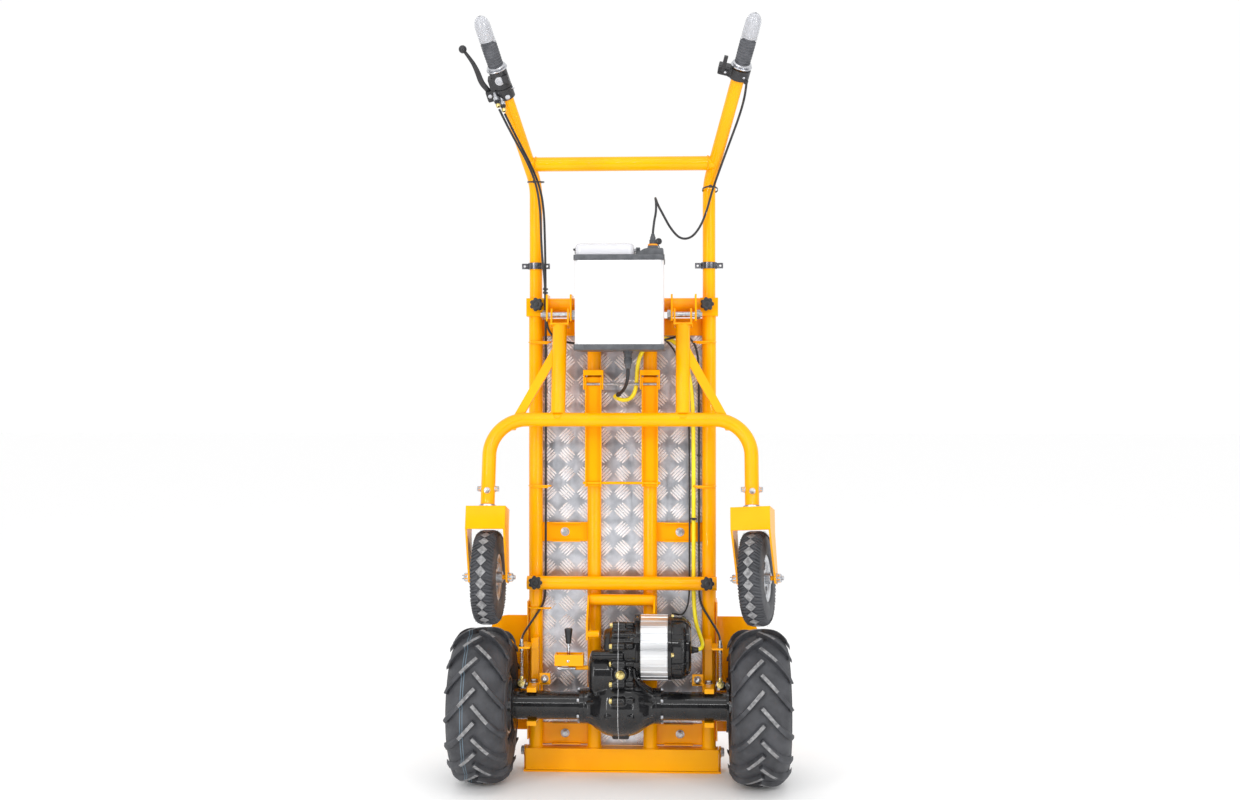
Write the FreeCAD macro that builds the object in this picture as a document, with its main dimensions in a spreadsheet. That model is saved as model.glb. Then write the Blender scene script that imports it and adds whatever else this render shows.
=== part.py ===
"""Powered stair-and-yard wheelbarrow: an upright tube frame with a tread-plate deck, two driven wheels, a
swing-out frame with two casters, a telescoping handle, a folding toe plate and a battery.

Frame of the model, in millimetres: +Z up, X across the machine, the operator stands on the -Y side and the
load lies on the +Y side. The origin is on the ground, in the middle plane, at the deck's load face.
"""
import FreeCAD, Part
import Sketcher
import math
import os
import re

from FreeCAD import Placement, Rotation, Vector

# Driving dimensions. Every name is an alias of one cell of the sheet "Sizes".
SIZES = {
    # frame tubes
    "rail_d": 31, "rail_wall": 1.2, "rail_x": 192, "rail_y": -18.5, "rail_foot": 52, "rail_top": 1045,
    "inner_x": 62, "inner_top": 1016.4, "deck_thick": 3, "deck_half": 190, "deck_foot": 53, "deck_top": 968,
    "plate_t": 4, "weld_gap": 0.1,
    # bottom beam and toe plate
    "beam_half": 213, "beam_back": -36, "beam_front": -2, "beam_low": 5, "beam_wall": 3,
    "toe_reach": 215, "toe_half": 204, "toe_wide": 218, "toe_step": 8, "toe_pin_y": -8, "toe_pin_z": 41,
    "toe_pin_d": 10, "toe_ear_top": 52,
    # cross-members
    "cross_y": -22.5, "cross_z": 1032, "sleeve_w": 39, "sleeve_low": 1007, "sleeve_high": 1047,
    "low_cross_y": -49.6, "low_cross_z": 420, "low_cross_half": 208, "low_cross_d": 30,
    "short_cross_y": -47.5, "short_cross_z": 383, "short_cross_d": 25,
    # knobs
    "knob_x": 187, "knob_d": 31, "knob_thick": 16, "knob_high_z": 1032, "knob_low_z": 424, "stud_d": 8,
    # drive axle
    "axle_y": -110, "axle_z": 165, "axle_tube_d": 60, "axle_wall": 4, "axle_in": 80, "axle_out": 226,
    "saddle_bolt_y": -73,
    "half_shaft_d": 24, "wheel_x": 296, "tyre_d": 330, "tyre_w": 124, "tyre_bore": 152, "lug_h": 9,
    "rim_w": 104, "drum_d": 122, "backplate_d": 108, "backplate_t": 5,
    # gearbox and motor
    "seam_x": -3, "bulb_d": 126, "box_left": -68, "box_right": 34, "shell": 6,
    "lobe_z": 235, "lobe_d": 102, "motor_z": 291, "motor_lobe_d": 96, "motor_d": 140, "motor_left": 34,
    "band_left": 44, "band_right": 102,
    # swing frame
    "hinge_y": -66, "hinge_z": 1008, "hinge_pin_d": 12, "lean": 14, "post_x": 134, "post_d": 31,
    "bar_drop": 235, "bar_d": 30, "leg_x": 279, "bend_r": 78, "leg_drop": 420,
    "ear_out": 160, "ear_in": 108, "ear_t": 4,
    # casters
    "crown_top": 426, "crown_low": 475, "fork_t": 4, "caster_drop": 568,
    "trail": 43, "caster_d": 200, "caster_w": 50, "caster_bore": 96, "swivel_left": 2, "swivel_right": 14,
    # stay
    "stay_y": -52, "stay_z": 857, "stay_w": 36, "stay_t": 3, "stay_half_deep": 7, "stay_up": 15,
    "stay_down": 225, "stay_rod_d": 6,
    # battery
    "battery_half": 95, "battery_back": -76, "battery_front": -190, "battery_low": 927,
    "battery_high": 1127, "battery_cap": 12, "battery_wall": 4,
    # handle
    "leg_d": 28, "leg_wall": 2, "leg_foot": 380, "handle_bend": 1300, "tip_x": 281, "tip_y": -275,
    "tip_z": 1604, "handle_bend_r": 70, "crossbar_d": 31, "crossbar_z": 1340, "grip_d": 33,
    "grip_len": 66, "cap_len": 54, "brake_at": 222, "throttle_at": 262,
    # cables
    "cable_d": 5, "conduit_d": 9, "lead_d": 4,
}

doc = FreeCAD.newDocument("PowerWheelbarrow")
sheet = doc.addObject("Spreadsheet::Sheet", "Sizes")
for row, (alias, value) in enumerate(SIZES.items(), start=1):
    sheet.set("A%d" % row, alias)
    sheet.set("B%d" % row, str(value))
    sheet.setAlias("B%d" % row, alias)
doc.recompute()

NODES = []
WORD = re.compile(r"[A-Za-z_][A-Za-z_0-9]*")


def size(name):
    """The value of one cell of the sheet."""
    return float(sheet.get(name))


def formula(text):
    """A formula in aliases, written as the document's expression language wants it."""
    return WORD.sub(lambda m: "Sizes." + m.group(0) if m.group(0) in SIZES else m.group(0), str(text))


def worth(text):
    """The number that a formula in aliases comes to now."""
    return float(sheet.evalExpression(formula(text)))


def bind(thing, **sizes):
    """Ties properties of an object to formulas."""
    for name, text in sizes.items():
        thing.setExpression(name, formula(text))


def place(thing, x, y, z, turn=None):
    """Puts an object at three formulas, after an optional fixed turn."""
    thing.Placement = Placement(Vector(worth(x), worth(y), worth(z)), turn or Rotation())
    for axis, text in zip("xyz", (x, y, z)):
        thing.setExpression("Placement.Base." + axis, formula(text))


def block(x0, x1, y0, y1, z0, z1):
    """A box between two formulas along each axis."""
    thing = doc.addObject("Part::Box", "Block")
    bind(thing, Length="(%s)-(%s)" % (x1, x0), Width="(%s)-(%s)" % (y1, y0), Height="(%s)-(%s)" % (z1, z0))
    place(thing, x0, y0, z0)
    return thing


ALONG = {"x": Rotation(Vector(0, 1, 0), 90), "y": Rotation(Vector(1, 0, 0), -90), "z": Rotation()}


def rod(axis, radius, x, y, z, length):
    """A cylinder that starts at a point and runs along +x, +y or +z."""
    thing = doc.addObject("Part::Cylinder", "Rod")
    bind(thing, Radius=radius, Height=length)
    place(thing, x, y, z, ALONG[axis])
    return thing


def cone(axis, radius_1, radius_2, x, y, z, length):
    """A cone that starts at a point and runs along +x, +y or +z."""
    thing = doc.addObject("Part::Cone", "Cone")
    bind(thing, Radius1=radius_1, Radius2=radius_2, Height=length)
    place(thing, x, y, z, ALONG[axis])
    return thing


def ball(radius, x, y, z):
    """A sphere about a point."""
    thing = doc.addObject("Part::Sphere", "Ball")
    bind(thing, Radius=radius)
    place(thing, x, y, z)
    return thing


def hexagon(axis, across, x, y, z, length):
    """A hexagonal bolt head or nut, with its size across the flats."""
    thing = doc.addObject("Part::Prism", "Hexagon")
    thing.Polygon = 6
    bind(thing, Circumradius="(%s)*0.57735" % across, Height=length)
    place(thing, x, y, z, ALONG[axis])
    return thing


def join(parts):
    """One solid out of several that touch or overlap."""
    if len(parts) == 1:
        return parts[0]
    thing = doc.addObject("Part::MultiFuse", "Joined")
    thing.Shapes = parts
    thing.Refine = True
    return thing


def cut(base, tools):
    """A solid with others taken away."""
    thing = doc.addObject("Part::Cut", "CutOut")
    thing.Base = base
    thing.Tool = join(tools)
    thing.Refine = True
    return thing


def group(parts):
    """Several separate solids in one node."""
    thing = doc.addObject("Part::Compound", "Group")
    thing.Links = parts
    return thing


def turned(part, angle, centre, axis=(1, 0, 0)):
    """A copy of a shape in a compound that is turned about a fixed point."""
    thing = doc.addObject("Part::Compound", "Turned")
    thing.Links = [part]
    thing.Placement = Placement(Vector(0, 0, 0), Rotation(Vector(*axis), angle), Vector(*centre))
    return thing


def mirrored(part):
    """The same shape on the other side of the middle plane."""
    thing = doc.addObject("Part::Mirroring", "Mirrored")
    thing.Source = part
    thing.Base = (0, 0, 0)
    thing.Normal = (1, 0, 0)
    return thing


def node(name, thing):
    """Names the object of one sub-part."""
    thing.Label = name
    NODES.append(thing)
    return thing


def fixed(shape):
    """A Part::Feature that holds a shape worked out from the sheet."""
    thing = doc.addObject("Part::Feature", "Shape")
    thing.Shape = shape
    return thing


def route_wire(points, bend=None, report=""):
    """Straight runs joined by tangent arcs. Without a bend radius each arc is as large as its runs allow."""
    points = [Vector(*p) for p in points]
    edges = []
    start = points[0]
    radii = []
    for before, corner, after in zip(points, points[1:], points[2:]):
        first = (before - corner).normalize()
        second = (after - corner).normalize()
        turn = math.pi - first.getAngle(second)
        if turn < 0.001:
            continue
        shorter = min(before.distanceToPoint(corner), corner.distanceToPoint(after))
        radius = bend or 0.45 * shorter / math.tan(turn / 2)
        step = radius * math.tan(turn / 2)
        radii.append(radius)
        a = corner + first * step
        b = corner + second * step
        middle = corner + (first + second).normalize() * (radius / math.cos(turn / 2) - radius)
        if start.distanceToPoint(a) > 1e-6:
            edges.append(Part.LineSegment(start, a).toShape())
        edges.append(Part.Arc(a, middle, b).toShape())
        start = b
    edges.append(Part.LineSegment(start, points[-1]).toShape())
    if report:
        print(report, "bend radii", [round(r) for r in radii])
    return Part.Wire(edges)


def pipe(points, radius, hole=0.0, bend=None, report=""):
    """A round tube or cable along a route."""
    wire = route_wire(points, bend, report)
    first = (Vector(*points[1]) - Vector(*points[0])).normalize()
    profile = Part.Wire([Part.makeCircle(radius, Vector(*points[0]), first)])
    solid = wire.makePipeShell([profile], True, False)
    if hole:
        bore = Part.Wire([Part.makeCircle(hole, Vector(*points[0]), first)])
        solid = solid.cut(wire.makePipeShell([bore], True, False))
    expected = math.pi * (radius ** 2 - hole ** 2) * wire.Length
    if abs(solid.Volume - expected) > 0.01 * expected:
        raise RuntimeError("a pipe's volume is %g, not %g" % (solid.Volume, expected))
    if report:
        print(report, "length", round(wire.Length, 1))
    return solid


def origin_plane(body, role):
    """One of a body's own three planes."""
    return [f for f in body.Origin.OriginFeatures if f.Role == role][0]


def sketch_on(body, role, name):
    """A sketch on one of a body's own planes."""
    sketch = body.newObject("Sketcher::SketchObject", name)
    sketch.AttachmentSupport = (origin_plane(body, role), [""])
    sketch.MapMode = "FlatFace"
    return sketch


def tie(sketch, geometry, point, x, y):
    """Ties one point of a sketch to two formulas."""
    for kind, text in (("DistanceX", x), ("DistanceY", y)):
        index = sketch.addConstraint(Sketcher.Constraint(kind, -1, 1, geometry, point, worth(text)))
        sketch.setExpression("Constraints[%d]" % index, formula(text))


def outline(sketch, corners):
    """A closed outline of straight sides whose corners are tied to the sheet."""
    spots = [Vector(worth(x), worth(y), 0) for x, y in corners]
    first = sketch.GeometryCount
    count = len(spots)
    for i in range(count):
        sketch.addGeometry(Part.LineSegment(spots[i], spots[(i + 1) % count]), False)
    for i in range(count):
        sketch.addConstraint(Sketcher.Constraint("Coincident", first + i, 2, first + (i + 1) % count, 1))
    for i, (x, y) in enumerate(corners):
        tie(sketch, first + i, 1, x, y)


def ring(sketch, x, y, radius):
    """A circle whose centre and radius are tied to the sheet."""
    centre = Vector(worth(x), worth(y), 0)
    index = sketch.addGeometry(Part.Circle(centre, Vector(0, 0, 1), worth(radius)), False)
    tie(sketch, index, 3, x, y)
    constraint = sketch.addConstraint(Sketcher.Constraint("Radius", index, worth(radius)))
    sketch.setExpression("Constraints[%d]" % constraint, formula(radius))


def plate(role, corners, thickness, holes=()):
    """A flat plate cut to an outline, with round holes, padded from one of its body's planes."""
    body = doc.addObject("PartDesign::Body", "Plate")
    sketch = sketch_on(body, role, "Outline")
    outline(sketch, corners)
    for x, y, radius in holes:
        ring(sketch, x, y, radius)
    pad = body.newObject("PartDesign::Pad", "Pad")
    pad.Profile = sketch
    pad.setExpression("Length", formula(thickness))
    sketch.Visibility = False
    return body


def revolved(corners):
    """A body turned about its own X axis. The outline gives distance along X and radius."""
    body = doc.addObject("PartDesign::Body", "Turning")
    sketch = sketch_on(body, "XZ_Plane", "Outline")
    outline(sketch, corners)
    turning = body.newObject("PartDesign::Revolution", "Revolution")
    turning.Profile = sketch
    turning.ReferenceAxis = (sketch, ["H_Axis"])
    turning.Angle = 360
    sketch.Visibility = False
    return body


# ---------------------------------------------------------------- frame

def frame_rails():
    """Two outer rails, into which the handle slides, and two inner rails, with small cable hooks."""
    parts = []
    for side in (-1, 1):
        x = "%d*rail_x" % side
        tube = cut(
            rod("z", "rail_d/2", x, "rail_y", "rail_foot", "rail_top-rail_foot"),
            [rod("z", "rail_d/2-rail_wall", x, "rail_y", "rail_foot+4", "rail_top-rail_foot")]
            + [rod("y", "stud_d/2+0.6", "%d*knob_x" % side, "rail_y-rail_d/2-1", z, "rail_d/2")
               for z in ("knob_high_z", "knob_low_z")],
        )
        parts.append(tube)
        x = "%d*inner_x" % side
        parts.append(cut(
            rod("z", "rail_d/2", x, "rail_y", "rail_foot", "inner_top-rail_foot"),
            [rod("z", "rail_d/2-2", x, "rail_y", "rail_foot+4", "inner_top-rail_foot")],
        ))
        parts.append(stay_bracket(side))
        for z in (947, 629):
            bar = rod("x", 1.8, "-rail_x-6" if side < 0 else "164", "rail_y-rail_d/2-1.8", z, "rail_x+6-164")
            leg = rod("y", 1.5, "%d*165.3" % side, "rail_y-rail_d/2-1.8", z, 26)
            parts.append(join([bar, leg]))
    return node("frame_rails", group(parts))


def stay_bracket(side):
    """The bracket on an inner rail that carries one end of the stay's pivot rod."""
    x = "%d*inner_x" % side
    cheeks = [block(x + "-22", x + "-18.6", -60, -24, "stay_z-12", "stay_z+31"),
              block(x + "+18.6", x + "+22", -60, -24, "stay_z-12", "stay_z+31")]
    cap = block(x + "-22", x + "+22", -62, -24, "stay_z+19", "stay_z+31")
    tools = [rod("z", "rail_d/2+weld_gap", x, "rail_y", "stay_z-20", 60),
             rod("x", "stay_rod_d/2+0.05", x + "-30", "stay_y", "stay_z", 60)]
    return cut(join(cheeks + [cap]), tools)


def upper_crossmember():
    """The cross tube with a clamping sleeve at each end and the four ears of the swing frame's hinges."""
    tube = rod("x", "rail_d/2", "-rail_x+sleeve_w/2-2", "cross_y", "cross_z", "2*rail_x-sleeve_w+4")
    parts = [tube]
    holes = [rod("x", "rail_d/2-2", "-rail_x+sleeve_w/2", "cross_y", "cross_z", "2*rail_x-sleeve_w")]
    for side in (-1, 1):
        x = "%d*rail_x" % side
        parts.append(block(x + "-sleeve_w/2", x + "+sleeve_w/2", "rail_y-sleeve_w/2", "rail_y+sleeve_w/2-2",
                           "sleeve_low", "sleeve_high"))
        holes.append(rod("z", "rail_d/2+weld_gap", x, "rail_y", "sleeve_low-1", "sleeve_high-sleeve_low+2"))
        holes.append(rod("y", "stud_d/2+0.05", "%d*knob_x" % side, "rail_y-sleeve_w/2-1", "knob_high_z", 20))
        for x0 in ("ear_in", "ear_out"):
            low, high = ("-%s-ear_t" % x0, "-%s" % x0) if side < 0 else (x0, x0 + "+ear_t")
            parts.append(block(low, high, "hinge_y-13", "cross_y", "hinge_z-14", "cross_z+20"))
        holes.append(rod("x", "hinge_pin_d/2+0.05", "ear_in-1" if side > 0 else "-ear_out-ear_t-1",
                         "hinge_y", "hinge_z", "ear_out-ear_in+ear_t+2"))
    return node("upper_crossmember", cut(join(parts), holes))


def lower_crossmember():
    """The cross tube that carries the two lower clamping knobs."""
    tube = rod("x", "low_cross_d/2", "-low_cross_half", "low_cross_y", "low_cross_z", "2*low_cross_half")
    bore = rod("x", "low_cross_d/2-2", "-low_cross_half-1", "low_cross_y", "low_cross_z",
               "2*low_cross_half+2")
    holes = [rod("y", "stud_d/2+0.05", "%d*knob_x" % side, "low_cross_y-20", "knob_low_z", 40)
             for side in (-1, 1)]
    return node("lower_crossmember", cut(tube, [bore] + holes))


def gearbox_bracket():
    """The short cross tube in front of the inner rails and its two gusset plates that hold the gearbox."""
    tube = cut(rod("x", "short_cross_d/2", -70, "short_cross_y", "short_cross_z", 140),
               [rod("x", "short_cross_d/2-2", -71, "short_cross_y", "short_cross_z", 142)])
    parts = []
    short = (("-37", "372"), ("-37", "394"), ("-60", "394"), ("-98", "368"), ("-98", "362"), ("-37", "362"))
    long = (("-37", "330"), ("-37", "394"), ("-60", "394"), ("-118", "346"), ("-118", "306"), ("-60", "306"))
    for x, corners in ((-74.2, long), (70.2, short)):
        gusset = plate("YZ_Plane", corners, 4)
        place(gusset, x, 0, 0)
        parts.append(gusset)
    spacer = rod("x", 8, -71, "axle_y", 318, 24.9)
    return node("gearbox_bracket", group([join([tube, spacer] + parts)] + selector_guide()))


def selector_guide():
    """The open box that guides the freewheel lever, and the rod that ties it to the gearbox."""
    box = cut(block(-141, -79, -126, -94, 252, 276), [block(-137, -83, -122, -98, 256, 277)])
    box = cut(box, [rod("y", 3.05, -112, -127, 262, 34)])
    tie_rod = rod("x", 5, -112, -110, 246, 43.9)
    return [box, join([tie_rod, block(-112, -104, -114, -106, 246, 252)])]


def deck_brackets():
    """Six flat bars between the inner and outer rails, with folded lips, which the deck is bolted to."""
    parts = []
    for low, high in ((965, 1003), (507, 550), (56, 103)):
        for side in (-1, 1):
            x0, x1 = ("inner_x+rail_d/2-7", "rail_x-rail_d/2+7")
            if side < 0:
                x0, x1 = "-(%s)" % x1, "-(%s)" % x0
            lips = [block("%d*125-32" % side, "%d*125+32" % side, "-deck_thick-14", "-deck_thick-plate_t",
                          foot, foot + 3) for foot in (low, high - 3)]
            bar = join([block(x0, x1, "-deck_thick-plate_t", "-deck_thick", low, high)] + lips)
            tools = [rod("z", "rail_d/2+weld_gap", x, "rail_y", low - 1, 60)
                     for x in ("%d*rail_x" % side, "%d*inner_x" % side)]
            tools.append(rod("y", 4.2, "%d*128" % side, -20, (low + high) / 2, 30))
            parts.append(cut(bar, tools))
    return node("deck_brackets", group(parts))


def bottom_beam():
    """The box beam across the foot of the frame, with a bolt hole in each end."""
    beam = block("-beam_half", "beam_half", "beam_back", "beam_front", "beam_low", "rail_foot")
    hollow = block("-beam_half+12", "beam_half-12", "beam_back+beam_wall", "beam_front-beam_wall",
                   "beam_low+beam_wall", "rail_foot-beam_wall")
    bolts = [rod("x", "toe_pin_d/2+0.05", x, "toe_pin_y", "toe_pin_z", 16)
             for x in ("-beam_half-2", "beam_half-14")]
    return node("bottom_beam", cut(cut(beam, [hollow]), bolts))


def toe_plate():
    """The folding toe plate: a flat plate with an ear at each end that pivots on the beam's bolts."""
    corners = (("-toe_wide", "beam_back"), ("toe_wide", "beam_back"), ("toe_wide", "toe_step"),
               ("toe_half", "toe_step"), ("toe_half", "toe_reach-30"), ("toe_half-30", "toe_reach"),
               ("-toe_half+30", "toe_reach"), ("-toe_half", "toe_reach-30"), ("-toe_half", "toe_step"),
               ("-toe_wide", "toe_step"))
    parts = [plate("XY_Plane", corners, "plate_t")]
    ears = (("-22", "2"), ("8", "2"), ("8", "toe_ear_top-8"), ("0", "toe_ear_top"), ("-16", "toe_ear_top"),
            ("-22", "toe_ear_top-8"))
    for x in ("-toe_wide", "toe_wide-plate_t"):
        ear = plate("YZ_Plane", ears, "plate_t", [("toe_pin_y", "toe_pin_z", "toe_pin_d/2+0.05")])
        place(ear, x, 0, 0)
        parts.append(ear)
    for x in (-140, -70, 0, 70, 140):
        parts.append(block(x - 3, x + 3, 30, "toe_reach-40", "plate_t-1", "plate_t+2"))
    return node("toe_plate", join(parts))


def fenders():
    """Two guards between the tyres and the load, each with a side web that is welded to its rail."""
    parts = []
    for side in (-1, 1):
        web = block("rail_x+rail_d/2+weld_gap", "rail_x+rail_d/2+3", -30, 63, 70, 376)
        web = cut(web, [rod("x", 26, "rail_x", 63, 376, 40)])
        corners = [("207.6", "70"), ("300", "70"), ("305", "75"), ("305", "291")]
        corners += [(str(265 + 40 * math.cos(math.radians(a))), str(291 + 40 * math.sin(math.radians(a))))
                    for a in (15, 30, 45, 60, 75, 90)]
        corners += [("207.6", "331")]
        face = plate("XZ_Plane", corners, 3)
        place(face, 0, 63, 0)
        guard = join([web, face])
        parts.append(guard if side > 0 else mirrored(guard))
    return node("fenders", group(parts))


def axle_mounts():
    """The struts and saddles that carry the axle tubes, with the stops of the brake cables."""
    parts = []
    for side in (-1, 1):
        strut = join([
            block("rail_x-10", "rail_x+6", -58, "rail_y-rail_d/2-weld_gap", 130, 300),
            block("rail_x-14", "rail_x+10", -84, -50, 128, 202),
            block("rail_x-12", "rail_x+8", -130, -58, 196, 206),
            block("rail_x-12", "rail_x+8", -130, -58, 124, 134),
            block("rail_x+4", "rail_x+28", -114, -50, 286, 290),
            block("rail_x-10", "rail_x+6", -60, -50, 276, 300),
        ])
        cuts = [rod("x", "axle_tube_d/2+0.05", "rail_x-20", "axle_y", "axle_z", 60),
                rod("z", 3, "rail_x+22", -106, 280, 20),
                rod("z", 4, 190, "saddle_bolt_y", 110, 110)]
        mount = cut(strut, cuts)
        parts.append(mount if side > 0 else mirrored(mount))
    return node("axle_mounts", group(parts))


def deck_plate():
    """The aluminium deck sheet, with its four countersunk bolt holes."""
    corners = (("-deck_half", "deck_foot"), ("deck_half", "deck_foot"), ("deck_half", "deck_top"),
               ("-deck_half", "deck_top"))
    holes = [(x, z, "4.2") for x in ("-128", "128") for z in ("528.5", "79.5")]
    sheet = plate("XZ_Plane", corners, "deck_thick", holes)
    sinks = [cone("y", 4.2, 8.45, x, -2.85, z, 2.87) for x in (-128, 128) for z in (528.5, 79.5)]
    return node("deck_plate", cut(sheet, sinks))


def frame_bolts():
    """Bolts with nuts: four countersunk in the deck, two toe-plate pivots, one through each saddle."""
    parts = []
    for x in (-128, 128):
        for z in (528.5, 79.5):
            parts.append(join([rod("y", 4, x, -16, z, 14), hexagon("y", 13, x, -13, z, 5.9),
                               cone("y", 4, 8, x, -2.8, z, 2.7)]))
    for side in (-1, 1):
        if side > 0:
            shank = rod("x", "toe_pin_d/2", "beam_half-12", "toe_pin_y", "toe_pin_z", 20)
            head = hexagon("x", 17, "toe_wide+0.3", "toe_pin_y", "toe_pin_z", 7)
        else:
            shank = rod("x", "toe_pin_d/2", "-beam_half-8", "toe_pin_y", "toe_pin_z", 20)
            head = hexagon("x", 17, "-toe_wide-7.3", "toe_pin_y", "toe_pin_z", 7)
        parts.append(join([shank, head]))
        x = side * 190
        parts.append(join([rod("z", 3.9, x, "saddle_bolt_y", 118, 94),
                           hexagon("z", 13, x, "saddle_bolt_y", 206.2, 6),
                           hexagon("z", 13, x, "saddle_bolt_y", 117.8, 6)]))
    return node("frame_bolts", group(parts))


# ---------------------------------------------------------------- drive

# Heights and depths of the bolts along the housing's seam.
SEAM_BOLTS = ((188, -171), (222, -166), (264, -159.7), (302, -163.9), (341, -132.9), (250, -54.5))


def gearbox_half(name, left):
    """One half of the cast housing: differential bulb, reduction lobe and motor lobe, hollow inside."""
    def shell(grow):
        bulb = ball("bulb_d/2+(%s)" % grow, "seam_x+2", "axle_y", "axle_z")
        neck = rod("x", "axle_tube_d/2+3+(%s)" % grow, "-axle_in+2-(%s)" % grow, "axle_y", "axle_z",
                   "2*axle_in-4+2*(%s)" % grow)
        lobe = rod("x", "lobe_d/2+(%s)" % grow, "box_left+6-(%s)" % grow, "axle_y", "lobe_z",
                   "box_right-box_left-10+2*(%s)" % grow)
        top = rod("x", "motor_lobe_d/2+(%s)" % grow, "box_left+22-(%s)" % grow, "axle_y", "motor_z",
                  "box_right-box_left-22+(%s)" % grow)
        return [bulb, neck, lobe, top]

    outside = shell("0")
    if left:
        outside.append(rod("x", "lobe_d/2-8", "box_left", "axle_y", "lobe_z", 10))
    outside.append(block(-26, 22, -132, -88, 96, 120))
    outside += [rod("x", 9, -16, y, z, 26) for z, y in SEAM_BOLTS]
    body = cut(join(outside), shell("-shell"))
    body = cut(body, [rod("x", "axle_tube_d/2-2", -90, "axle_y", "axle_z", 180),
                      rod("x", 30, "box_right-8", "axle_y", "motor_z", 12)]
               + [rod("x", 3.2, -18, y, z, 32)
                  for z, y in SEAM_BOLTS]
               + [rod("x", 6.2, x, y, z, 8) for z, y in SEAM_BOLTS for x in (-24, 10)]
               + [rod("y", 10, 2, -182, 243, 30)])
    keep = (block(-100, "seam_x", -200, -30, 60, 360) if left
            else block("seam_x", 100, -200, -30, 60, 360))
    half = doc.addObject("Part::Common", "Half")
    half.Base = body
    half.Tool = keep
    return node(name, half)


def axle_tubes():
    """Two axle tubes with a bolted flange at the gearbox and the brake's backplate at the wheel."""
    parts = []
    for side in (-1, 1):
        solid = join([
            rod("x", "axle_tube_d/2", "axle_in", "axle_y", "axle_z", "axle_out-axle_in"),
            rod("x", 38, "axle_in-2", "axle_y", "axle_z", 9),
            rod("x", "backplate_d/2", "axle_out", "axle_y", "axle_z", "backplate_t"),
        ])
        tools = [rod("x", "axle_tube_d/2-axle_wall", "axle_in-3", "axle_y", "axle_z", "axle_out-axle_in-3"),
                 rod("x", "half_shaft_d/2+3", "axle_in-3", "axle_y", "axle_z", 200),
                 rod("x", 5.05, 200, -70, "axle_z+35", 60)]
        tube = cut(solid, tools)
        parts.append(tube if side > 0 else mirrored(tube))
    return node("axle_tubes", group(parts))


def housing_fasteners():
    """Yellow-zinc bolts along the gearbox seam and round the flanges, and the brass filler plug."""
    parts = []
    for z, y in SEAM_BOLTS:
        parts.append(join([rod("x", 3, -22, y, z, 36), hexagon("x", 10, -22, y, z, 5.9),
                           hexagon("x", 10, 10.1, y, z, 5)]))
    for side in (-1, 1):
        for angle in (30, 90, 150, 210, 270, 330):
            y = -110 + 34.2 * math.cos(math.radians(angle))
            z = 165 + 34.2 * math.sin(math.radians(angle))
            parts.append(hexagon("x", 6.5, 87.1 if side > 0 else -92.1, y, z, 5))
    parts.append(join([rod("y", 9.9, 2, -172, 243, 16), hexagon("y", 20, 2, -178, 243, 8)]))
    return node("housing_fasteners", group(parts))


def motor_body():
    """The motor's flange and its ribbed aluminium band, open inside for the rotor."""
    flange = rod("x", "motor_d/2-3", "motor_left", "axle_y", "motor_z", "band_left-motor_left")
    band = rod("x", "motor_d/2", "band_left", "axle_y", "motor_z", "band_right-band_left")
    inside = rod("x", "motor_d/2-9", "band_left", "axle_y", "motor_z", "band_right-band_left+1")
    shaft = rod("x", 14, "motor_left-1", "axle_y", "motor_z", 20)
    return node("motor_body", cut(join([flange, band]), [inside, shaft]))


def motor_end_cap():
    """The cast end cap of the motor, with its ribs."""
    shell = join([rod("x", "motor_d/2-1", "band_right", "axle_y", "motor_z", 34),
                  cone("x", "motor_d/2-1", "motor_d/2-20", "band_right+34", "axle_y", "motor_z", 16)])
    cap = cut(shell, [rod("x", "motor_d/2-8", "band_right-1", "axle_y", "motor_z", 30),
                      rod("x", 8.05, "band_right+20", "axle_y", "motor_z", 22)])
    centre = (0, size("axle_y"), size("motor_z"))
    ribs = [turned(block("band_right+4", "band_right+40", "axle_y-3", "axle_y+3", "motor_z+motor_d/2-6",
                         "motor_z+motor_d/2+1"), angle, centre) for angle in range(0, 360, 30)]
    return node("motor_end_cap", join([cap] + ribs))


def motor_rotor():
    """The motor's rotor, its shaft and the pinion on it."""
    return node("motor_rotor", join([
        rod("x", 8, -20, "axle_y", "motor_z", "band_right+34+20"),
        rod("x", 52, "band_left+4", "axle_y", "motor_z", 50),
        gear_disc(12, 15.5, 6, "motor_z", 18, 15),
    ]))


def gear_disc(teeth, radius, x, z, width, phase=0.0):
    """A spur gear about an axis along X: a disc with straight-sided teeth set round it, turned by a phase."""
    body = doc.addObject("PartDesign::Body", "Gear")
    sketch = sketch_on(body, "YZ_Plane", "Blank")
    ring(sketch, 0, 0, radius - 2.5)
    pad = body.newObject("PartDesign::Pad", "Blank")
    pad.Profile = sketch
    pad.Length = width
    tooth = sketch_on(body, "YZ_Plane", "Tooth")
    half = math.pi * radius / teeth / 2.3
    outline(tooth, ((-half, radius - 4), (half, radius - 4), (half * 0.5, radius + 1.8),
                    (-half * 0.5, radius + 1.8)))
    tooth_pad = body.newObject("PartDesign::Pad", "Tooth")
    tooth_pad.Profile = tooth
    tooth_pad.Length = width
    doc.recompute()
    pattern = body.newObject("PartDesign::PolarPattern", "Teeth")
    pattern.Originals = [tooth_pad]
    pattern.Axis = (sketch, ["N_Axis"])
    pattern.Angle = 360
    pattern.Occurrences = teeth
    body.Tip = pattern
    place(body, x, "axle_y", z, Rotation(Vector(1, 0, 0), phase))
    return body


def intermediate_gear():
    """The idler shaft with a large wheel that the motor's pinion drives and a small one behind it."""
    return node("intermediate_gear", join([
        rod("x", 7, -55.8, "axle_y", "lobe_z", 79.4),
        gear_disc(30, 38.7, 6, "lobe_z", 16),
        gear_disc(15, 20, -22, "lobe_z", 16),
    ]))


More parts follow.
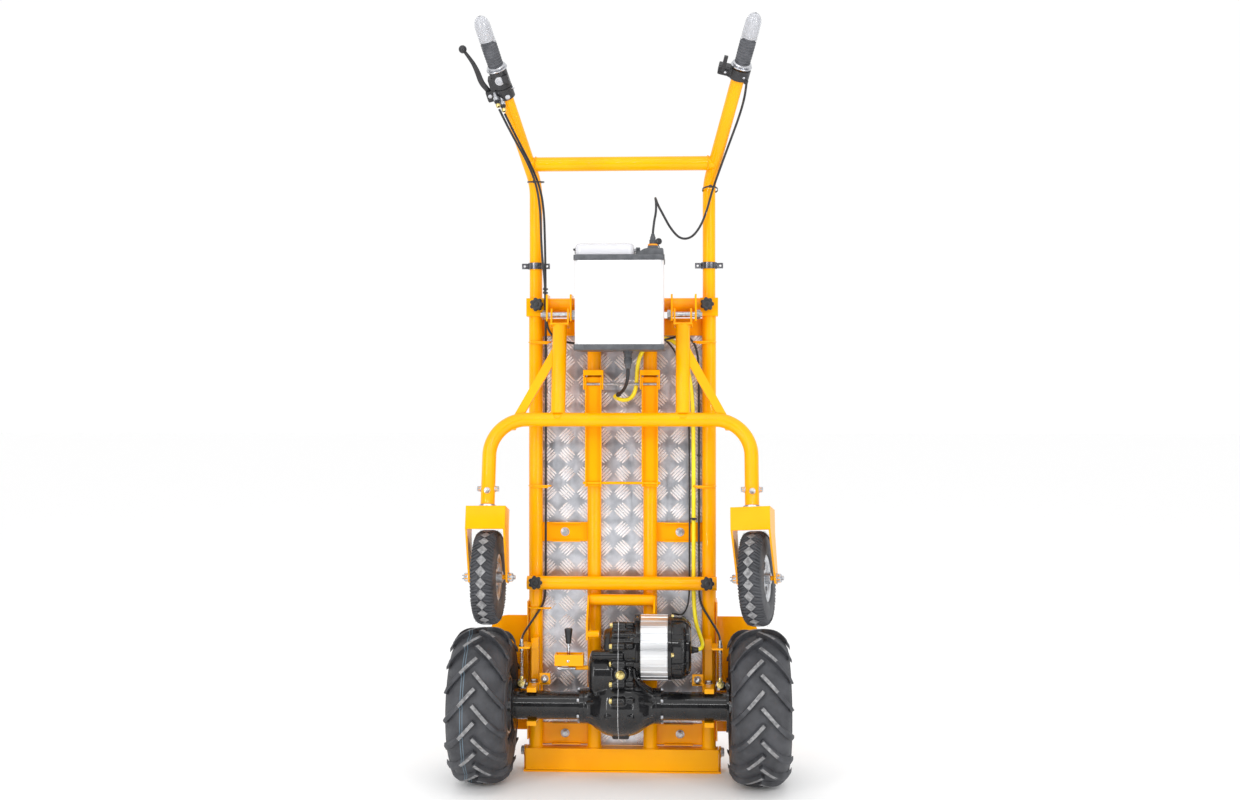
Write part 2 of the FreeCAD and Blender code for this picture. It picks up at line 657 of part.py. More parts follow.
def ring_gear():
    """The ring gear and the differential's case, open along the axle for the half shafts."""
    gear = gear_disc(36, 48, -20, "axle_z", 12)
    case = rod("x", 21, -44, "axle_y", "axle_z", 74)
    bore = rod("x", "half_shaft_d/2+0.4", -60, "axle_y", "axle_z", 130)
    return node("ring_gear", cut(join([gear, case]), [bore]))


def brake_cables():
    """Two sheathed brake cables, each whole from the lever to its stop, with wire and spring below."""
    parts = []
    left = [(-241.6, -172.6, 1426), (-226, -140, 1392), (-190, -66, 1322), (-173, -36, 1262),
            (-170, -33, 1150), (-168.2, -44.2, 1076), (-168.2, -43.4, 1010), (-169.5, -27, 970),
            (-169.6, -24.5, 920), (-169.6, -24.5, 640), (-169.6, -24.5, 420), (-171, -30, 374),
            (-196, -45, 338), (-214, -78, 312), (-214, -106, 300), (-214, -106, 290)]
    right = [(-252.4, -180.6, 1434), (-235, -154, 1396), (-196, -78, 1326), (-179.5, -50, 1262),
             (-177, -47, 1150), (-168.2, -51, 1076), (-168.2, -50, 992), (-152, -44, 958),
             (-112, -54, 946), (-60, -60, 944), (60, -60, 944), (104, -54, 956), (140, -34, 968),
             (166, -25, 940), (169.6, -24.5, 880), (169.6, -24.5, 640), (169.6, -24.5, 420),
             (171, -30, 374), (196, -45, 338), (214, -78, 312), (214, -106, 300), (214, -106, 290)]
    for name, points in (("left brake cable", left), ("right brake cable", right)):
        parts.append(fixed(pipe(points, size("cable_d") / 2, report=name)))
    for side in (-1, 1):
        x = side * 214
        spring = cut(rod("z", 4.5, x, -106, 226, 60), [rod("z", 3, x, -106, 225, 62)])
        parts.append(join([rod("z", 1, x, -106, 222, 68), spring]))
    return node("brake_cables", group(parts))


def brake_arm(name, side):
    """The cam shaft that enters the drum and the arm that the cable pulls."""
    z = "axle_z+35"
    arm = join([
        rod("x", 5, 205, -70, z, 30),
        block(208, 213, -112, -64, "axle_z+36", "axle_z+46"),
        rod("x", 9, 208, -70, z, 5),
        rod("x", 7, 206, -106, "axle_z+47", 14),
    ])
    return node(name, arm if side > 0 else mirrored(arm))


def motor_leads():
    """The yellow conduit from the battery plug to the motor, and the thin signal lead beside it."""
    conduit = [(17, -130, 888.8), (17, -130, 866), (8, -110, 844), (-6, -86, 833), (-15, -64, 830),
               (-11, -47, 826), (3, -41.5, 821), (18, -41, 824), (29, -41, 838), (33, -42, 862),
               (34, -44, 896), (42, -46, 926), (62, -47, 948), (96, -46, 960), (124, -36, 946),
               (142, -29, 904), (155, -27.5, 840), (158, -27.5, 740), (158, -27.5, 440), (158, -28, 380),
               (162, -40, 334), (172, -66, 308), (178, -90, 292), (170, -100, 284), (152.8, -100, 284)]
    signal = [(60, -38, 968), (90, -36, 960), (116, -29, 934), (136, -24.5, 880), (147, -23.5, 810),
              (149, -23.5, 700), (149, -23.5, 430), (148, -27, 380), (140, -38, 356), (128, -50, 350),
              (118, -62, 356), (112, -74, 358)]
    return node("motor_leads", group([
        fixed(pipe(conduit, size("conduit_d") / 2, report="motor conduit")),
        fixed(pipe(signal, size("lead_d") / 2, report="signal lead")),
    ]))


# ---------------------------------------------------------------- wheels

def build_tyre(outer, bore, width, lug, bars, x, y, z):
    """A tyre turned from its section, with lug bars trimmed to its crown, centred at a point."""
    r, w, b = outer / 2, width / 2, bore / 2
    k = width / 124.0
    belly = b + (r - b) * 0.45
    outer_half = [(w - 12 * k, b), (w - 2 * k, b + 5 * k), (w, belly), (w - 3 * k, r - lug - 24 * k),
                  (w - 14 * k, r - lug - 8 * k), (w * 0.45, r - lug - 1)]
    inner_half = [(w - 24 * k, r - lug - 18 * k), (w - 10 * k, belly), (w - 18 * k, b + 8 * k)]
    section = [(-along, radius) for along, radius in outer_half] + [(0, r - lug)]
    section += outer_half[::-1] + inner_half[::-1]
    section += [(-along, radius) for along, radius in inner_half]
    carcass = revolve_section(section)
    top_half = [(w - 1, r - lug - 20 * k), (w - 3 * k, r - 14 * k), (w - 12 * k, r - 3 * k), (w * 0.5, r)]
    crown = revolve_section([(-along, radius) for along, radius in top_half] + top_half[::-1]
                            + [(w * 0.3, r - lug - 10 * k), (-w * 0.3, r - lug - 10 * k)])
    tread = crown.common(Part.makeCompound(bars(outer / 2, lug)))
    solid = carcass.fuse(tread).removeSplitter()
    thing = fixed(solid)
    thing.Placement = Placement(Vector(x, y, z), Rotation())
    return thing


def revolve_section(section):
    """A closed outline of distance along X and radius, turned about the X axis."""
    points = [Vector(x, 0, radius) for x, radius in section]
    face = Part.Face(Part.makePolygon(points + [points[0]]))
    return face.revolve(Vector(0, 0, 0), Vector(1, 0, 0), 360)


def chevron_bars(radius, lug):
    """Slanted lugs of the drive tyre: two rows that lean against each other, half a pitch apart."""
    bars = []
    count = 20
    for i in range(count):
        for side in (-1, 1):
            bar = Part.makeBox(72, 15, lug + 24, Vector(-2, -7.5, radius - lug - 20))
            if side < 0:
                bar.rotate(Vector(0, 0, 0), Vector(0, 0, 1), 180)
            bar.rotate(Vector(0, 0, 0), Vector(0, 0, 1), side * 36)
            bar.rotate(Vector(0, 0, 0), Vector(1, 0, 0), 360.0 / count * (i + 0.25 * side))
            bars.append(bar)
    return bars


def diamond_bars(radius, lug):
    """Lugs of a caster tyre: a row of diamonds round the middle and a row of bars on each shoulder."""
    bars = []
    count = 32
    for i in range(count):
        angle = 360.0 / count * i
        diamond = Part.makeBox(9, 9, lug + 12, Vector(-4.5, -4.5, radius - lug - 8))
        diamond.rotate(Vector(0, 0, 0), Vector(0, 0, 1), 45)
        diamond.rotate(Vector(0, 0, 0), Vector(1, 0, 0), angle)
        bars.append(diamond)
        for side in (-1, 1):
            bar = Part.makeBox(20, 6, lug + 16, Vector(9 if side > 0 else -29, -3, radius - lug - 14))
            bar.rotate(Vector(side * 9, 0, 0), Vector(0, 0, 1), side * 25)
            bar.rotate(Vector(0, 0, 0), Vector(1, 0, 0), angle + 5.6)
            bars.append(bar)
    return bars


def drive_tyre(name, side):
    """One of the two pneumatic drive tyres."""
    return node(name, build_tyre(size("tyre_d"), size("tyre_bore"), size("tyre_w"), size("lug_h"),
                                 chevron_bars, side * size("wheel_x"), size("axle_y"), size("axle_z")))


def drive_rim(name, side):
    """A drive wheel's rim with its disc, hub, brake drum and the half shaft that drives it."""
    rim = revolved([("-rim_w/2", 62), ("-rim_w/2+6", 62), ("-rim_w/2+10", 70), (0, 66), ("rim_w/2-10", 70),
                    ("rim_w/2-6", 62), ("rim_w/2", 62), ("rim_w/2", "tyre_bore/2-0.1"),
                    ("-rim_w/2", "tyre_bore/2-0.1")])
    disc = rod("x", 67, 8, 0, 0, 5)
    hub = rod("x", 24, -40, 0, 0, 76)
    cap = rod("x", 27, 30, 0, 0, 14)
    drum = cut(rod("x", "drum_d/2", -57, 0, 0, 40), [rod("x", "drum_d/2-5", -58, 0, 0, 34)])
    shaft = rod("x", "half_shaft_d/2", -284, 0, 0, 300)
    windows = []
    for i in range(5):
        spoke = rod("x", 11, 6, 0, 45, 12)
        windows.append(turned(spoke, 72 * i, (0, 0, 0)))
    studs = [turned(hexagon("x", 17, 13, 0, 33, 10), 72 * i + 36, (0, 0, 0)) for i in range(5)]
    solid = join([cut(join([rim, disc, hub, cap, drum, shaft]), windows)] + studs)
    solid = group([solid])
    if side > 0:
        place(solid, "wheel_x", "axle_y", "axle_z")
        return node(name, solid)
    other = mirrored(solid)
    holder = group([other])
    place(holder, "-wheel_x", "axle_y", "axle_z")
    return node(name, holder)


def leaning(part):
    """Turns a piece of the swing frame from upright to its resting lean about the hinge line."""
    centre = (0, size("hinge_y"), size("hinge_z"))
    return turned(part, -size("lean"), centre)


def swivelled(part, side):
    """Turns a caster about its leg, then leans it with the swing frame."""
    angle = -size("swivel_left" if side < 0 else "swivel_right")
    return leaning(turned(part, angle, (side * size("leg_x"), size("hinge_y"), 0), (0, 0, 1)))


def swing_posts():
    """The two posts that hang on the hinge pins, each with its clevis ears and its brace."""
    parts = []
    for side in (-1, 1):
        x = size("post_x")
        post = rod("z", "post_d/2", "post_x", "hinge_y", "hinge_z-bar_drop+bar_d/2-3",
                   "bar_drop-bar_d/2+3-24")
        top = block("post_x-20", "post_x+20", "hinge_y-14", "hinge_y+14", "hinge_z-26", "hinge_z-22")
        ears = [block(x0, x0 + 4, "hinge_y-11", "hinge_y+11", "hinge_z-24", "hinge_z+11")
                for x0 in (x - 20, x + 16)]
        brace = plate("XZ_Plane", (("post_x+8", "hinge_z-62"), ("post_x+22", "hinge_z-90"),
                                   ("leg_x-34", "hinge_z-258"), ("leg_x-54", "hinge_z-258"),
                                   ("post_x+5", "hinge_z-100")), 8)
        place(brace, 0, "hinge_y+4", 0)
        bore = rod("x", "hinge_pin_d/2+0.05", "post_x-30", "hinge_y", "hinge_z", 60)
        solid = cut(join([post, top, brace] + ears), [bore])
        parts.append(solid if side > 0 else mirrored(solid))
    bar = swing_bar_solid()
    return node("swing_posts", leaning(cut(group(parts), [bar])))


def swing_bar_solid():
    """The bent tube of the swing frame, upright."""
    y, z, x = size("hinge_y"), size("hinge_z") - size("bar_drop"), size("leg_x")
    low = size("hinge_z") - size("leg_drop")
    corners = [(-x, y, low), (-x, y, z), (x, y, z), (x, y, low)]
    return fixed(pipe(corners, size("bar_d") / 2, bend=size("bend_r")))


def swing_bar():
    """The U-shaped tube that carries the casters, bored for their stems, with its clamp bolts."""
    tools = []
    bolts = []
    for side in (-1, 1):
        x = side * size("leg_x")
        tools.append(rod("z", 10.05, x, "hinge_y", "hinge_z-leg_drop-1", 90))
        bolts.append(join([hexagon("y", 10, x, size("hinge_y") - 19, "hinge_z-392", 6)]))
        for way in (-1, 1):
            bolts.append(hexagon("x", 10, x + way * 17 - 3, "hinge_y", "hinge_z-386", 6))
    tube = cut(swing_bar_solid(), tools)
    return node("swing_bar", leaning(join([tube] + bolts)))


def caster_fork(name, side):
    """A caster's fork: crown, two blades, swivel stem and the wheel's axle bolt."""
    x = side * size("leg_x")
    hollow = block(x - 38, x + 38, "hinge_y-20", "hinge_y+33", "hinge_z-crown_low-1",
                   "hinge_z-crown_top-4")
    crown = cut(block(x - 42, x + 42, "hinge_y-24", "hinge_y+32", "hinge_z-crown_low",
                      "hinge_z-crown_top"), [hollow])
    blade = (("hinge_y-24", "hinge_z-crown_low+2"), ("hinge_y+32", "hinge_z-crown_low+2"),
             ("hinge_y+trail+15", "hinge_z-caster_drop+6"), ("hinge_y+trail+9", "hinge_z-caster_drop-12"),
             ("hinge_y+trail-9", "hinge_z-caster_drop-12"), ("hinge_y+trail-17", "hinge_z-caster_drop+6"))
    parts = [crown]
    for x0 in (x - 42, x + 38):
        arm = plate("YZ_Plane", blade, "fork_t")
        place(arm, x0, 0, 0)
        parts.append(arm)
    parts.append(rod("z", 10, x, "hinge_y", "hinge_z-crown_top-2", 80))
    parts.append(rod("z", 17, x, "hinge_y", "hinge_z-crown_top-1", 5.4))
    parts.append(rod("x", 5, x - 48, "hinge_y+trail", "hinge_z-caster_drop", 96))
    for x0 in (x - 50, x + 42):
        parts.append(hexagon("x", 16, x0, "hinge_y+trail", "hinge_z-caster_drop", 8))
    return node(name, swivelled(join(parts), side))


def caster_tyre(name, side):
    """A caster's tyre."""
    centre = (side * size("leg_x"), size("hinge_y") + size("trail"), size("hinge_z") - size("caster_drop"))
    solid = build_tyre(size("caster_d"), size("caster_bore"), size("caster_w"), 2.5, diamond_bars, *centre)
    return node(name, swivelled(solid, side))


def caster_rim(name, side):
    """A caster's rim with its five-armed disc and its hub tube, which runs on the axle bolt."""
    rim = revolved([(-19, 42), (19, 42), (19, "caster_bore/2-0.1"), (-19, "caster_bore/2-0.1")])
    disc = rod("x", 43, -2, 0, 0, 4)
    hub = rod("x", 13, -30, 0, 0, 60)
    tools = [rod("x", 5.06, -31, 0, 0, 62)]
    for i in range(5):
        tools.append(turned(rod("x", 9, -5, 0, 28, 10), 72 * i, (0, 0, 0)))
    wheel = group([cut(join([rim, disc, hub]), tools)])
    place(wheel, "%d*leg_x" % side, "hinge_y+trail", "hinge_z-caster_drop")
    return node(name, swivelled(wheel, side))


def stay():
    """Two channels joined by a rod, which swing out and prop the swing frame."""
    channels = []
    for side in (-1, 1):
        x = side * size("inner_x")
        y0, y1 = "stay_y-stay_half_deep", "stay_y+stay_half_deep"
        outer = block("%g-stay_w/2" % x, "%g+stay_w/2" % x, y0, y1, "stay_z-stay_down", "stay_z+stay_up")
        inner = block("%g-stay_w/2+stay_t" % x, "%g+stay_w/2-stay_t" % x, "%s-1" % y0, "%s-stay_t" % y1,
                      "stay_z-stay_down-1", "stay_z+stay_up+1")
        channels.append(cut(outer, [inner]))
    link = rod("x", 3, "-inner_x-stay_w/2-5", "stay_y", "stay_z-stay_down+8", "2*inner_x+stay_w+10")
    pivot = rod("x", "stay_rod_d/2+0.05", "-inner_x-stay_w/2-9", "stay_y", "stay_z", "2*inner_x+stay_w+18")
    return node("stay", cut(join(channels + [link]), [pivot]))


def hinge_pins():
    """The two hinge pins of the swing frame with their heads and nuts, and the stay's pivot rod."""
    parts = []
    for side in (-1, 1):
        pin = join([
            rod("x", "hinge_pin_d/2", "ear_in-8", "hinge_y", "hinge_z", "ear_out-ear_in+24"),
            hexagon("x", 18, "ear_in-7.5", "hinge_y", "hinge_z", 7),
            hexagon("x", 18, "ear_out+ear_t+0.3", "hinge_y", "hinge_z", 8),
        ])
        parts.append(pin if side > 0 else mirrored(pin))
    parts.append(rod("x", "stay_rod_d/2", "-inner_x-stay_w/2-8", "stay_y", "stay_z", "2*inner_x+stay_w+16"))
    return node("hinge_pins", group(parts))


# ---------------------------------------------------------------- battery

def battery_case():
    """The extruded battery housing, a square tube with rounded corners."""
    outer = block("-battery_half+1.5", "battery_half-1.5", "battery_front+1.5", "battery_back-1.5",
                  "battery_low+battery_cap", "battery_high-battery_cap")
    inner = block("-battery_half+1.5+battery_wall", "battery_half-1.5-battery_wall",
                  "battery_front+1.5+battery_wall", "battery_back-1.5-battery_wall",
                  "battery_low", "battery_high")
    return node("battery_case", cut(outer, [inner]))


def battery_caps():
    """The two end caps, the raised block on the upper one with its lead socket, and the lower plug."""
    bottom = block("-battery_half", "battery_half", "battery_front", "battery_back", "battery_low",
                   "battery_low+battery_cap")
    plug = join([rod("z", 11, 17, -130, "battery_low-4", 5), rod("z", 8, 17, -130, "battery_low-38", 38)])
    top = block("-battery_half", "battery_half", "battery_front", "battery_back", "battery_high-battery_cap",
                "battery_high")
    raised = block(44, 92, "battery_front+12", "battery_back-12", "battery_high-1", "battery_high+14")
    socket = cut(rod("z", 13, 70, -133, "battery_high+13", 10),
                 [rod("z", 9.1, 70, -133, "battery_high+17", 17)])
    lugs = [block(36, 43, y, y + 6, "battery_high-1", "battery_high+16") for y in (-172, -100)]
    lid_pin = rod("y", 2, 39.5, -172, "battery_high+11", 78)
    return node("battery_caps", group([join([bottom, plug]), join([top, raised, socket, lid_pin] + lugs)]))


def battery_cells():
    """The pack of cells inside the housing."""
    parts = []
    for i in range(4):
        for j in range(2):
            x = -66 + 44 * i
            y = -110 - 46 * j
            parts.append(block(x - 20, x + 20, y - 21, y + 21, "battery_low+battery_cap+2",
                               "battery_high-30"))
    return node("battery_cells", group(parts))


def battery_lid():
    """The clear cover over the charging side of the battery's top, hinged at the raised block."""
    shell = cut(block(-92, 31, "battery_front+4", "battery_back-4", "battery_high+0.3", "battery_high+25"),
                [block(-89, 28, "battery_front+7", "battery_back-7", "battery_high-1", "battery_high+22")])
    knuckles = [block(30, 38, y, y + 20, "battery_high+7", "battery_high+15") for y in (-160, -122)]
    barrels = [rod("y", 4.5, 39.5, y, "battery_high+11", 20) for y in (-160, -122)]
    tab = block(-100, -91, -143, -123, "battery_high+12", "battery_high+16")
    bores = [rod("y", 2.06, 39.5, -180, "battery_high+11", 100)]
    return node("battery_lid", cut(join([shell, tab] + knuckles + barrels), bores))


def battery_cradle():
    """The angle bracket behind the battery that hangs it on the inner rails."""
    back = block(-80, 80, "battery_back+0.2", "battery_back+4", "battery_low+2", "battery_high-40")
    arms = [block(x - 9, x + 9, "battery_back+3", "rail_y-rail_d/2-0.1", z, z + 16)
            for x in (-62, 62) for z in (994,)]
    return node("battery_cradle", join([back] + arms))


def motor_controller():
    """The finned controller box between the battery and the deck."""
    box = block(-40, 40, -26, "-deck_thick-0.2", 935, 1012)
    fins = [block(x - 1.5, x + 1.5, -33, -25, 938, 1009) for x in range(-36, 37, 9)]
    return node("motor_controller", join([box] + fins))


# ---------------------------------------------------------------- handle

def along_grip(side, distance):
    """A point on the leaning part of the handle, at a distance above its bend."""
    start = Vector(side * size("rail_x"), size("rail_y"), size("handle_bend"))
    tip = Vector(side * size("tip_x"), size("tip_y"), size("tip_z"))
    return start + (tip - start).normalize() * distance


def grip_turn(side):
    """The turn that lays +Z along the leaning part of the handle."""
    return Rotation(Vector(0, 0, 1), along_grip(side, 100) - along_grip(side, 0))


def on_grip(shape, side, distance):
    """A shape made round +Z from the origin, laid along the handle at a distance above its bend."""
    shape.Placement = Placement(along_grip(side, distance), grip_turn(side)).multiply(shape.Placement)
    return shape


def handle_length():
    """The length of the leaning part, from the bend to the tip."""
    return (along_grip(1, 0)).distanceToPoint(Vector(size("tip_x"), size("tip_y"), size("tip_z")))


def handle_tubes():
    """Two bent tubes whose lower legs slide in the outer rails."""
    parts = []
    radius = size("leg_d") / 2
    for side in (-1, 1):
        x, y = side * size("rail_x"), size("rail_y")
        end = along_grip(side, handle_length() - size("cap_len") - 2)
        points = [(x, y, size("leg_foot")), (x, y, size("handle_bend")), tuple(end)]
        parts.append(pipe(points, radius, radius - size("leg_wall"), bend=size("handle_bend_r")))
    return node("handle_tubes", fixed(Part.makeCompound(parts)))


def handle_crossbar():
    """The cross tube between the two sides of the handle."""
    along = (size("crossbar_z") - size("handle_bend")) / (along_grip(1, 1).z - along_grip(1, 0).z)
    left, right = along_grip(-1, along), along_grip(1, along)
    radius = size("crossbar_d") / 2
    direction = right - left
    bar = Part.makeCylinder(radius, direction.Length, left, direction)
    bar = bar.cut(Part.makeCylinder(radius - 2, direction.Length, left, direction))
    for side in (-1, 1):
        x, y = side * size("rail_x"), size("rail_y")
        tube = pipe([(x, y, 1200), (x, y, size("handle_bend")), tuple(along_grip(side, 200))],
                    size("leg_d") / 2 + 0.05, bend=size("handle_bend_r"))
        bar = bar.cut(tube)
    inside = max(bar.Solids, key=lambda s: s.Volume)
    return node("handle_crossbar", fixed(inside))


def handle_grips():
    """Two ribbed rubber grips, each with a flange at its inner end."""
    parts = []
    for side in (-1, 1):
        start = handle_length() - size("cap_len") - size("grip_len")
        radius = size("grip_d") / 2
        sleeve = Part.makeCylinder(radius - 1.5, size("grip_len"))
        sleeve = sleeve.fuse(Part.makeCylinder(radius + 4, 5))
        for i in range(9):
            sleeve = sleeve.fuse(Part.makeCylinder(radius, 3.6, Vector(0, 0, 9 + 6.2 * i)))
        bore = Part.makeCylinder(size("leg_d") / 2 + 0.05, size("grip_len") + 1, Vector(0, 0, -0.5))
        sleeve = sleeve.cut(bore)
        parts.append(on_grip(sleeve, side, start))
    return node("handle_grips", fixed(Part.makeCompound(parts)))


def grip_end_caps():
    """Two clear plastic hand guards on the ends of the grips."""
    parts = []
    for side in (-1, 1):
        length = size("cap_len")
        radius = size("grip_d") / 2 - 1
        cap = Part.makeCylinder(radius, length - radius * 0.6).fuse(
            Part.makeSphere(radius, Vector(0, 0, length - radius)))
        cap = cap.cut(Part.makeCylinder(radius - 3, length - radius))
        parts.append(on_grip(cap, side, handle_length() - length + 0.1))
    return node("grip_end_caps", fixed(Part.makeCompound(parts)))


def brake_lever_clamp():
    """The brake lever's clamp and perch on the left side, with the two cable adjusters below it."""
    perch = Part.makeCylinder(19.5, 24).fuse(Part.makeBox(26, 22, 20, Vector(-38, -11, 4)))
    perch = perch.cut(Part.makeBox(24.5, 8.6, 26, Vector(-44.5, -4.3, 6)))
    perch = perch.fuse(Part.makeCylinder(3, 24, Vector(-30, -12, 16), Vector(0, 1, 0)))
    solid = on_grip(perch, -1, size("brake_at"))
    for start, end in (((-243, -176, 1432), (-252, -170, 1472)), ((-254, -184, 1440), (-264, -176, 1474))):
        foot = Vector(*start)
        aim = (Vector(*end) - foot).normalize()
        solid = solid.fuse(Part.makeCylinder(4.5, foot.distanceToPoint(Vector(*end)), foot, aim))
        solid = solid.fuse(Part.makeCylinder(6, 4, foot + aim * 9, aim))
    hole = Part.makeCylinder(size("leg_d") / 2 + 0.05, 120, Vector(0, 0, -60))
    slot = Part.makeBox(24.5, 8.6, 26, Vector(-44.5, -4.3, 6)).cut(
        Part.makeCylinder(3, 24, Vector(-30, -12, 16), Vector(0, 1, 0)))
    for tool in (hole, slot):
        solid = solid.cut(on_grip(tool, -1, size("brake_at")))
    return node("brake_lever_clamp", fixed(solid.removeSplitter()))


def brake_lever():
    """The brake lever: a flat blade that turns on the perch's pin and ends in a ball."""
    blade = Part.makeCylinder(7, 8, Vector(-30, -4, 16), Vector(0, 1, 0))
    arm = pipe([(-32, 0, 18), (-40, 0, 44), (-40, 0, 74), (-44, 0, 100), (-54, 0, 122)], 3.9)
    blade = blade.fuse(arm).fuse(Part.makeSphere(8.5, Vector(-55, 0, 126)))
    blade = blade.cut(Part.makeCylinder(3.06, 20, Vector(-30, -10, 16), Vector(0, 1, 0)))
    return node("brake_lever", fixed(on_grip(blade, -1, size("brake_at"))))


def throttle_clamp():
    """The thumb throttle's clamp and housing on the right side."""
    body = Part.makeCylinder(21, 22)
    body = body.fuse(Part.makeBox(30, 26, 18, Vector(-44, -13, 2)))
    body = body.cut(Part.makeCylinder(size("leg_d") / 2 + 0.05, 22))
    body = body.cut(Part.makeBox(23, 8.4, 20, Vector(-46, -15, 1)))
    body = body.fuse(Part.makeCylinder(2.5, 26, Vector(-30, -13, 11), Vector(0, 1, 0)))
    return node("throttle_clamp", fixed(on_grip(body.removeSplitter(), 1, size("throttle_at"))))


def throttle_thumb():
    """The throttle's thumb paddle."""
    paddle = Part.makeCylinder(6, 7.6, Vector(-30, -14.8, 11), Vector(0, 1, 0))
    paddle = paddle.fuse(Part.makeBox(8, 7.6, 34, Vector(-40, -14.8, 11)))
    paddle = paddle.cut(Part.makeCylinder(2.56, 12, Vector(-30, -17, 11), Vector(0, 1, 0)))
    return node("throttle_thumb", fixed(on_grip(paddle.removeSplitter(), 1, size("throttle_at"))))


def pipe_clamps():
    """Two black stop clamps with side tabs round the handle's legs."""
    parts = []
    for side in (-1, 1):
        x = "%d*rail_x" % side
        band = join([rod("z", "leg_d/2+3.5", x, "rail_y", 1112, 14),
                     block(x + "-31", x + "+31", "rail_y-3", "rail_y+3", 1113, 1125)])
        parts.append(cut(band, [rod("z", "leg_d/2+0.05", x, "rail_y", 1100, 40)]
                         + [rod("y", 2.5, "%s%+d" % (x, dx), "rail_y-8", 1119, 16) for dx in (-25, 25)]))
    return node("pipe_clamps", group(parts))


THROTTLE_ROUTE = [(267, -180.6, 1491), (266, -163, 1468), (255, -132, 1428), (232, -92, 1370),
                  (212, -58, 1318), (198, -42, 1280), (187, -42, 1238), (173, -50, 1202),
                  (153, -63, 1175), (128, -78, 1171), (107, -92, 1193), (91, -101, 1222),
                  (80, -105, 1242), (76, -114, 1253), (75, -127, 1254), (77, -137, 1243),
                  (77, -140, 1221), (72, -135, 1199), (70, -133, 1176.6)]


def throttle_lead():
    """The throttle's lead: along the handle to its tie, then free to the plug on the battery."""
    return node("throttle_lead", fixed(pipe(THROTTLE_ROUTE, size("cable_d") / 2, report="throttle lead")))


def throttle_plug():
    """The plug that joins the throttle's lead to the battery's socket."""
    return node("throttle_plug", join([
        rod("z", 9, 70, -133, "battery_high+17", 9),
        rod("z", 11.5, 70, -133, "battery_high+23.2", 4),
        rod("z", 7.5, 70, -133, "battery_high+26", 15),
        cone("z", 6, 3.2, 70, -133, "battery_high+41", 8),
    ]))


# ---------------------------------------------------------------- controls

def star_knob(name, side, low):
    """A seven-lobed clamping knob with its stud."""
    z, y = ("knob_low_z", "low_cross_y-low_cross_d/2") if low else ("knob_high_z", "rail_y-sleeve_w/2")
    x = "%d*knob_x" % side
    head = rod("y", "knob_d/2-3.5", 0, 0, 0, "knob_thick")
    lobes = [turned(rod("y", 5, "knob_d/2-5", 0, 0, "knob_thick"), 360 / 7 * i, (0, 0, 0), (0, 1, 0))
             for i in range(7)]
    reach = worth("rail_y-leg_d/2-0.35") - worth(y)
    stud = rod("y", "stud_d/2", 0, "knob_thick-1", 0, reach + 5)
    skirt = rod("y", 8, 0, "knob_thick-1", 0, 4)
    knob = group([join([head, skirt, stud] + lobes)])
    place(knob, x, "%s-knob_thick-4" % y, z)
    return node(name, knob)


def freewheel_lever():
    """The lever that frees the gearbox: shaft, pivot pin and knob."""
    return node("freewheel_lever", join([
        rod("z", 3.5, -112, -110, 262, 40),
        rod("y", 3, -112, -126, 262, 32),
        rod("y", 6, -112, -114, 262, 8),
        cone("z", 6, 9, -112, -110, 300, 14),
        rod("z", 9, -112, -110, 314, 16),
    ]))


# ---------------------------------------------------------------- the whole machine

frame_rails()
upper_crossmember()
lower_crossmember()
gearbox_bracket()
deck_brackets()
bottom_beam()
fenders()
axle_mounts()
deck_plate()
frame_bolts()
gearbox_half("gearbox_left", True)
gearbox_half("gearbox_right", False)
axle_tubes()
housing_fasteners()
motor_body()
motor_end_cap()
motor_rotor()
intermediate_gear()
ring_gear()
brake_cables()
brake_arm("brake_arm_left", -1)
brake_arm("brake_arm_right", 1)
motor_leads()
for word, side in (("left", -1), ("right", 1)):
    drive_tyre("drive_tyre_" + word, side)
    drive_rim("drive_rim_" + word, side)
    caster_fork("caster_fork_" + word, side)
    caster_tyre("caster_tyre_" + word, side)
    caster_rim("caster_rim_" + word, side)
    star_knob("upper_knob_" + word, side, False)
    star_knob("lower_knob_" + word, side, True)
swing_posts()
swing_bar()
stay()
hinge_pins()
toe_plate()
battery_case()
battery_caps()
battery_cells()
battery_lid()
battery_cradle()
motor_controller()
handle_tubes()
handle_crossbar()
handle_grips()
grip_end_caps()
brake_lever_clamp()
brake_lever()
throttle_clamp()
throttle_thumb()
pipe_clamps()
throttle_lead()
throttle_plug()
freewheel_lever()

doc.recompute()
failed = [thing.Label for thing in doc.Objects if {"Invalid", "Error"} & set(thing.State)]
if failed:
    raise RuntimeError("these objects failed: %s" % ", ".join(failed))
os.makedirs("parts", exist_ok=True)
for thing in NODES:
    shape = thing.Shape
    if shape.isNull() or not shape.isValid() or not shape.Solids:
        raise RuntimeError("%s has no valid solid" % thing.Label)
for thing in NODES:
    thing.Shape.exportStep("parts/%s.step" % thing.Label)
print(len(NODES), "nodes")
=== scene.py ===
"""Looks of the power wheelbarrow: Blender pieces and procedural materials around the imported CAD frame."""
import bmesh
import bpy
import math
import random
from mathutils import Matrix, Vector


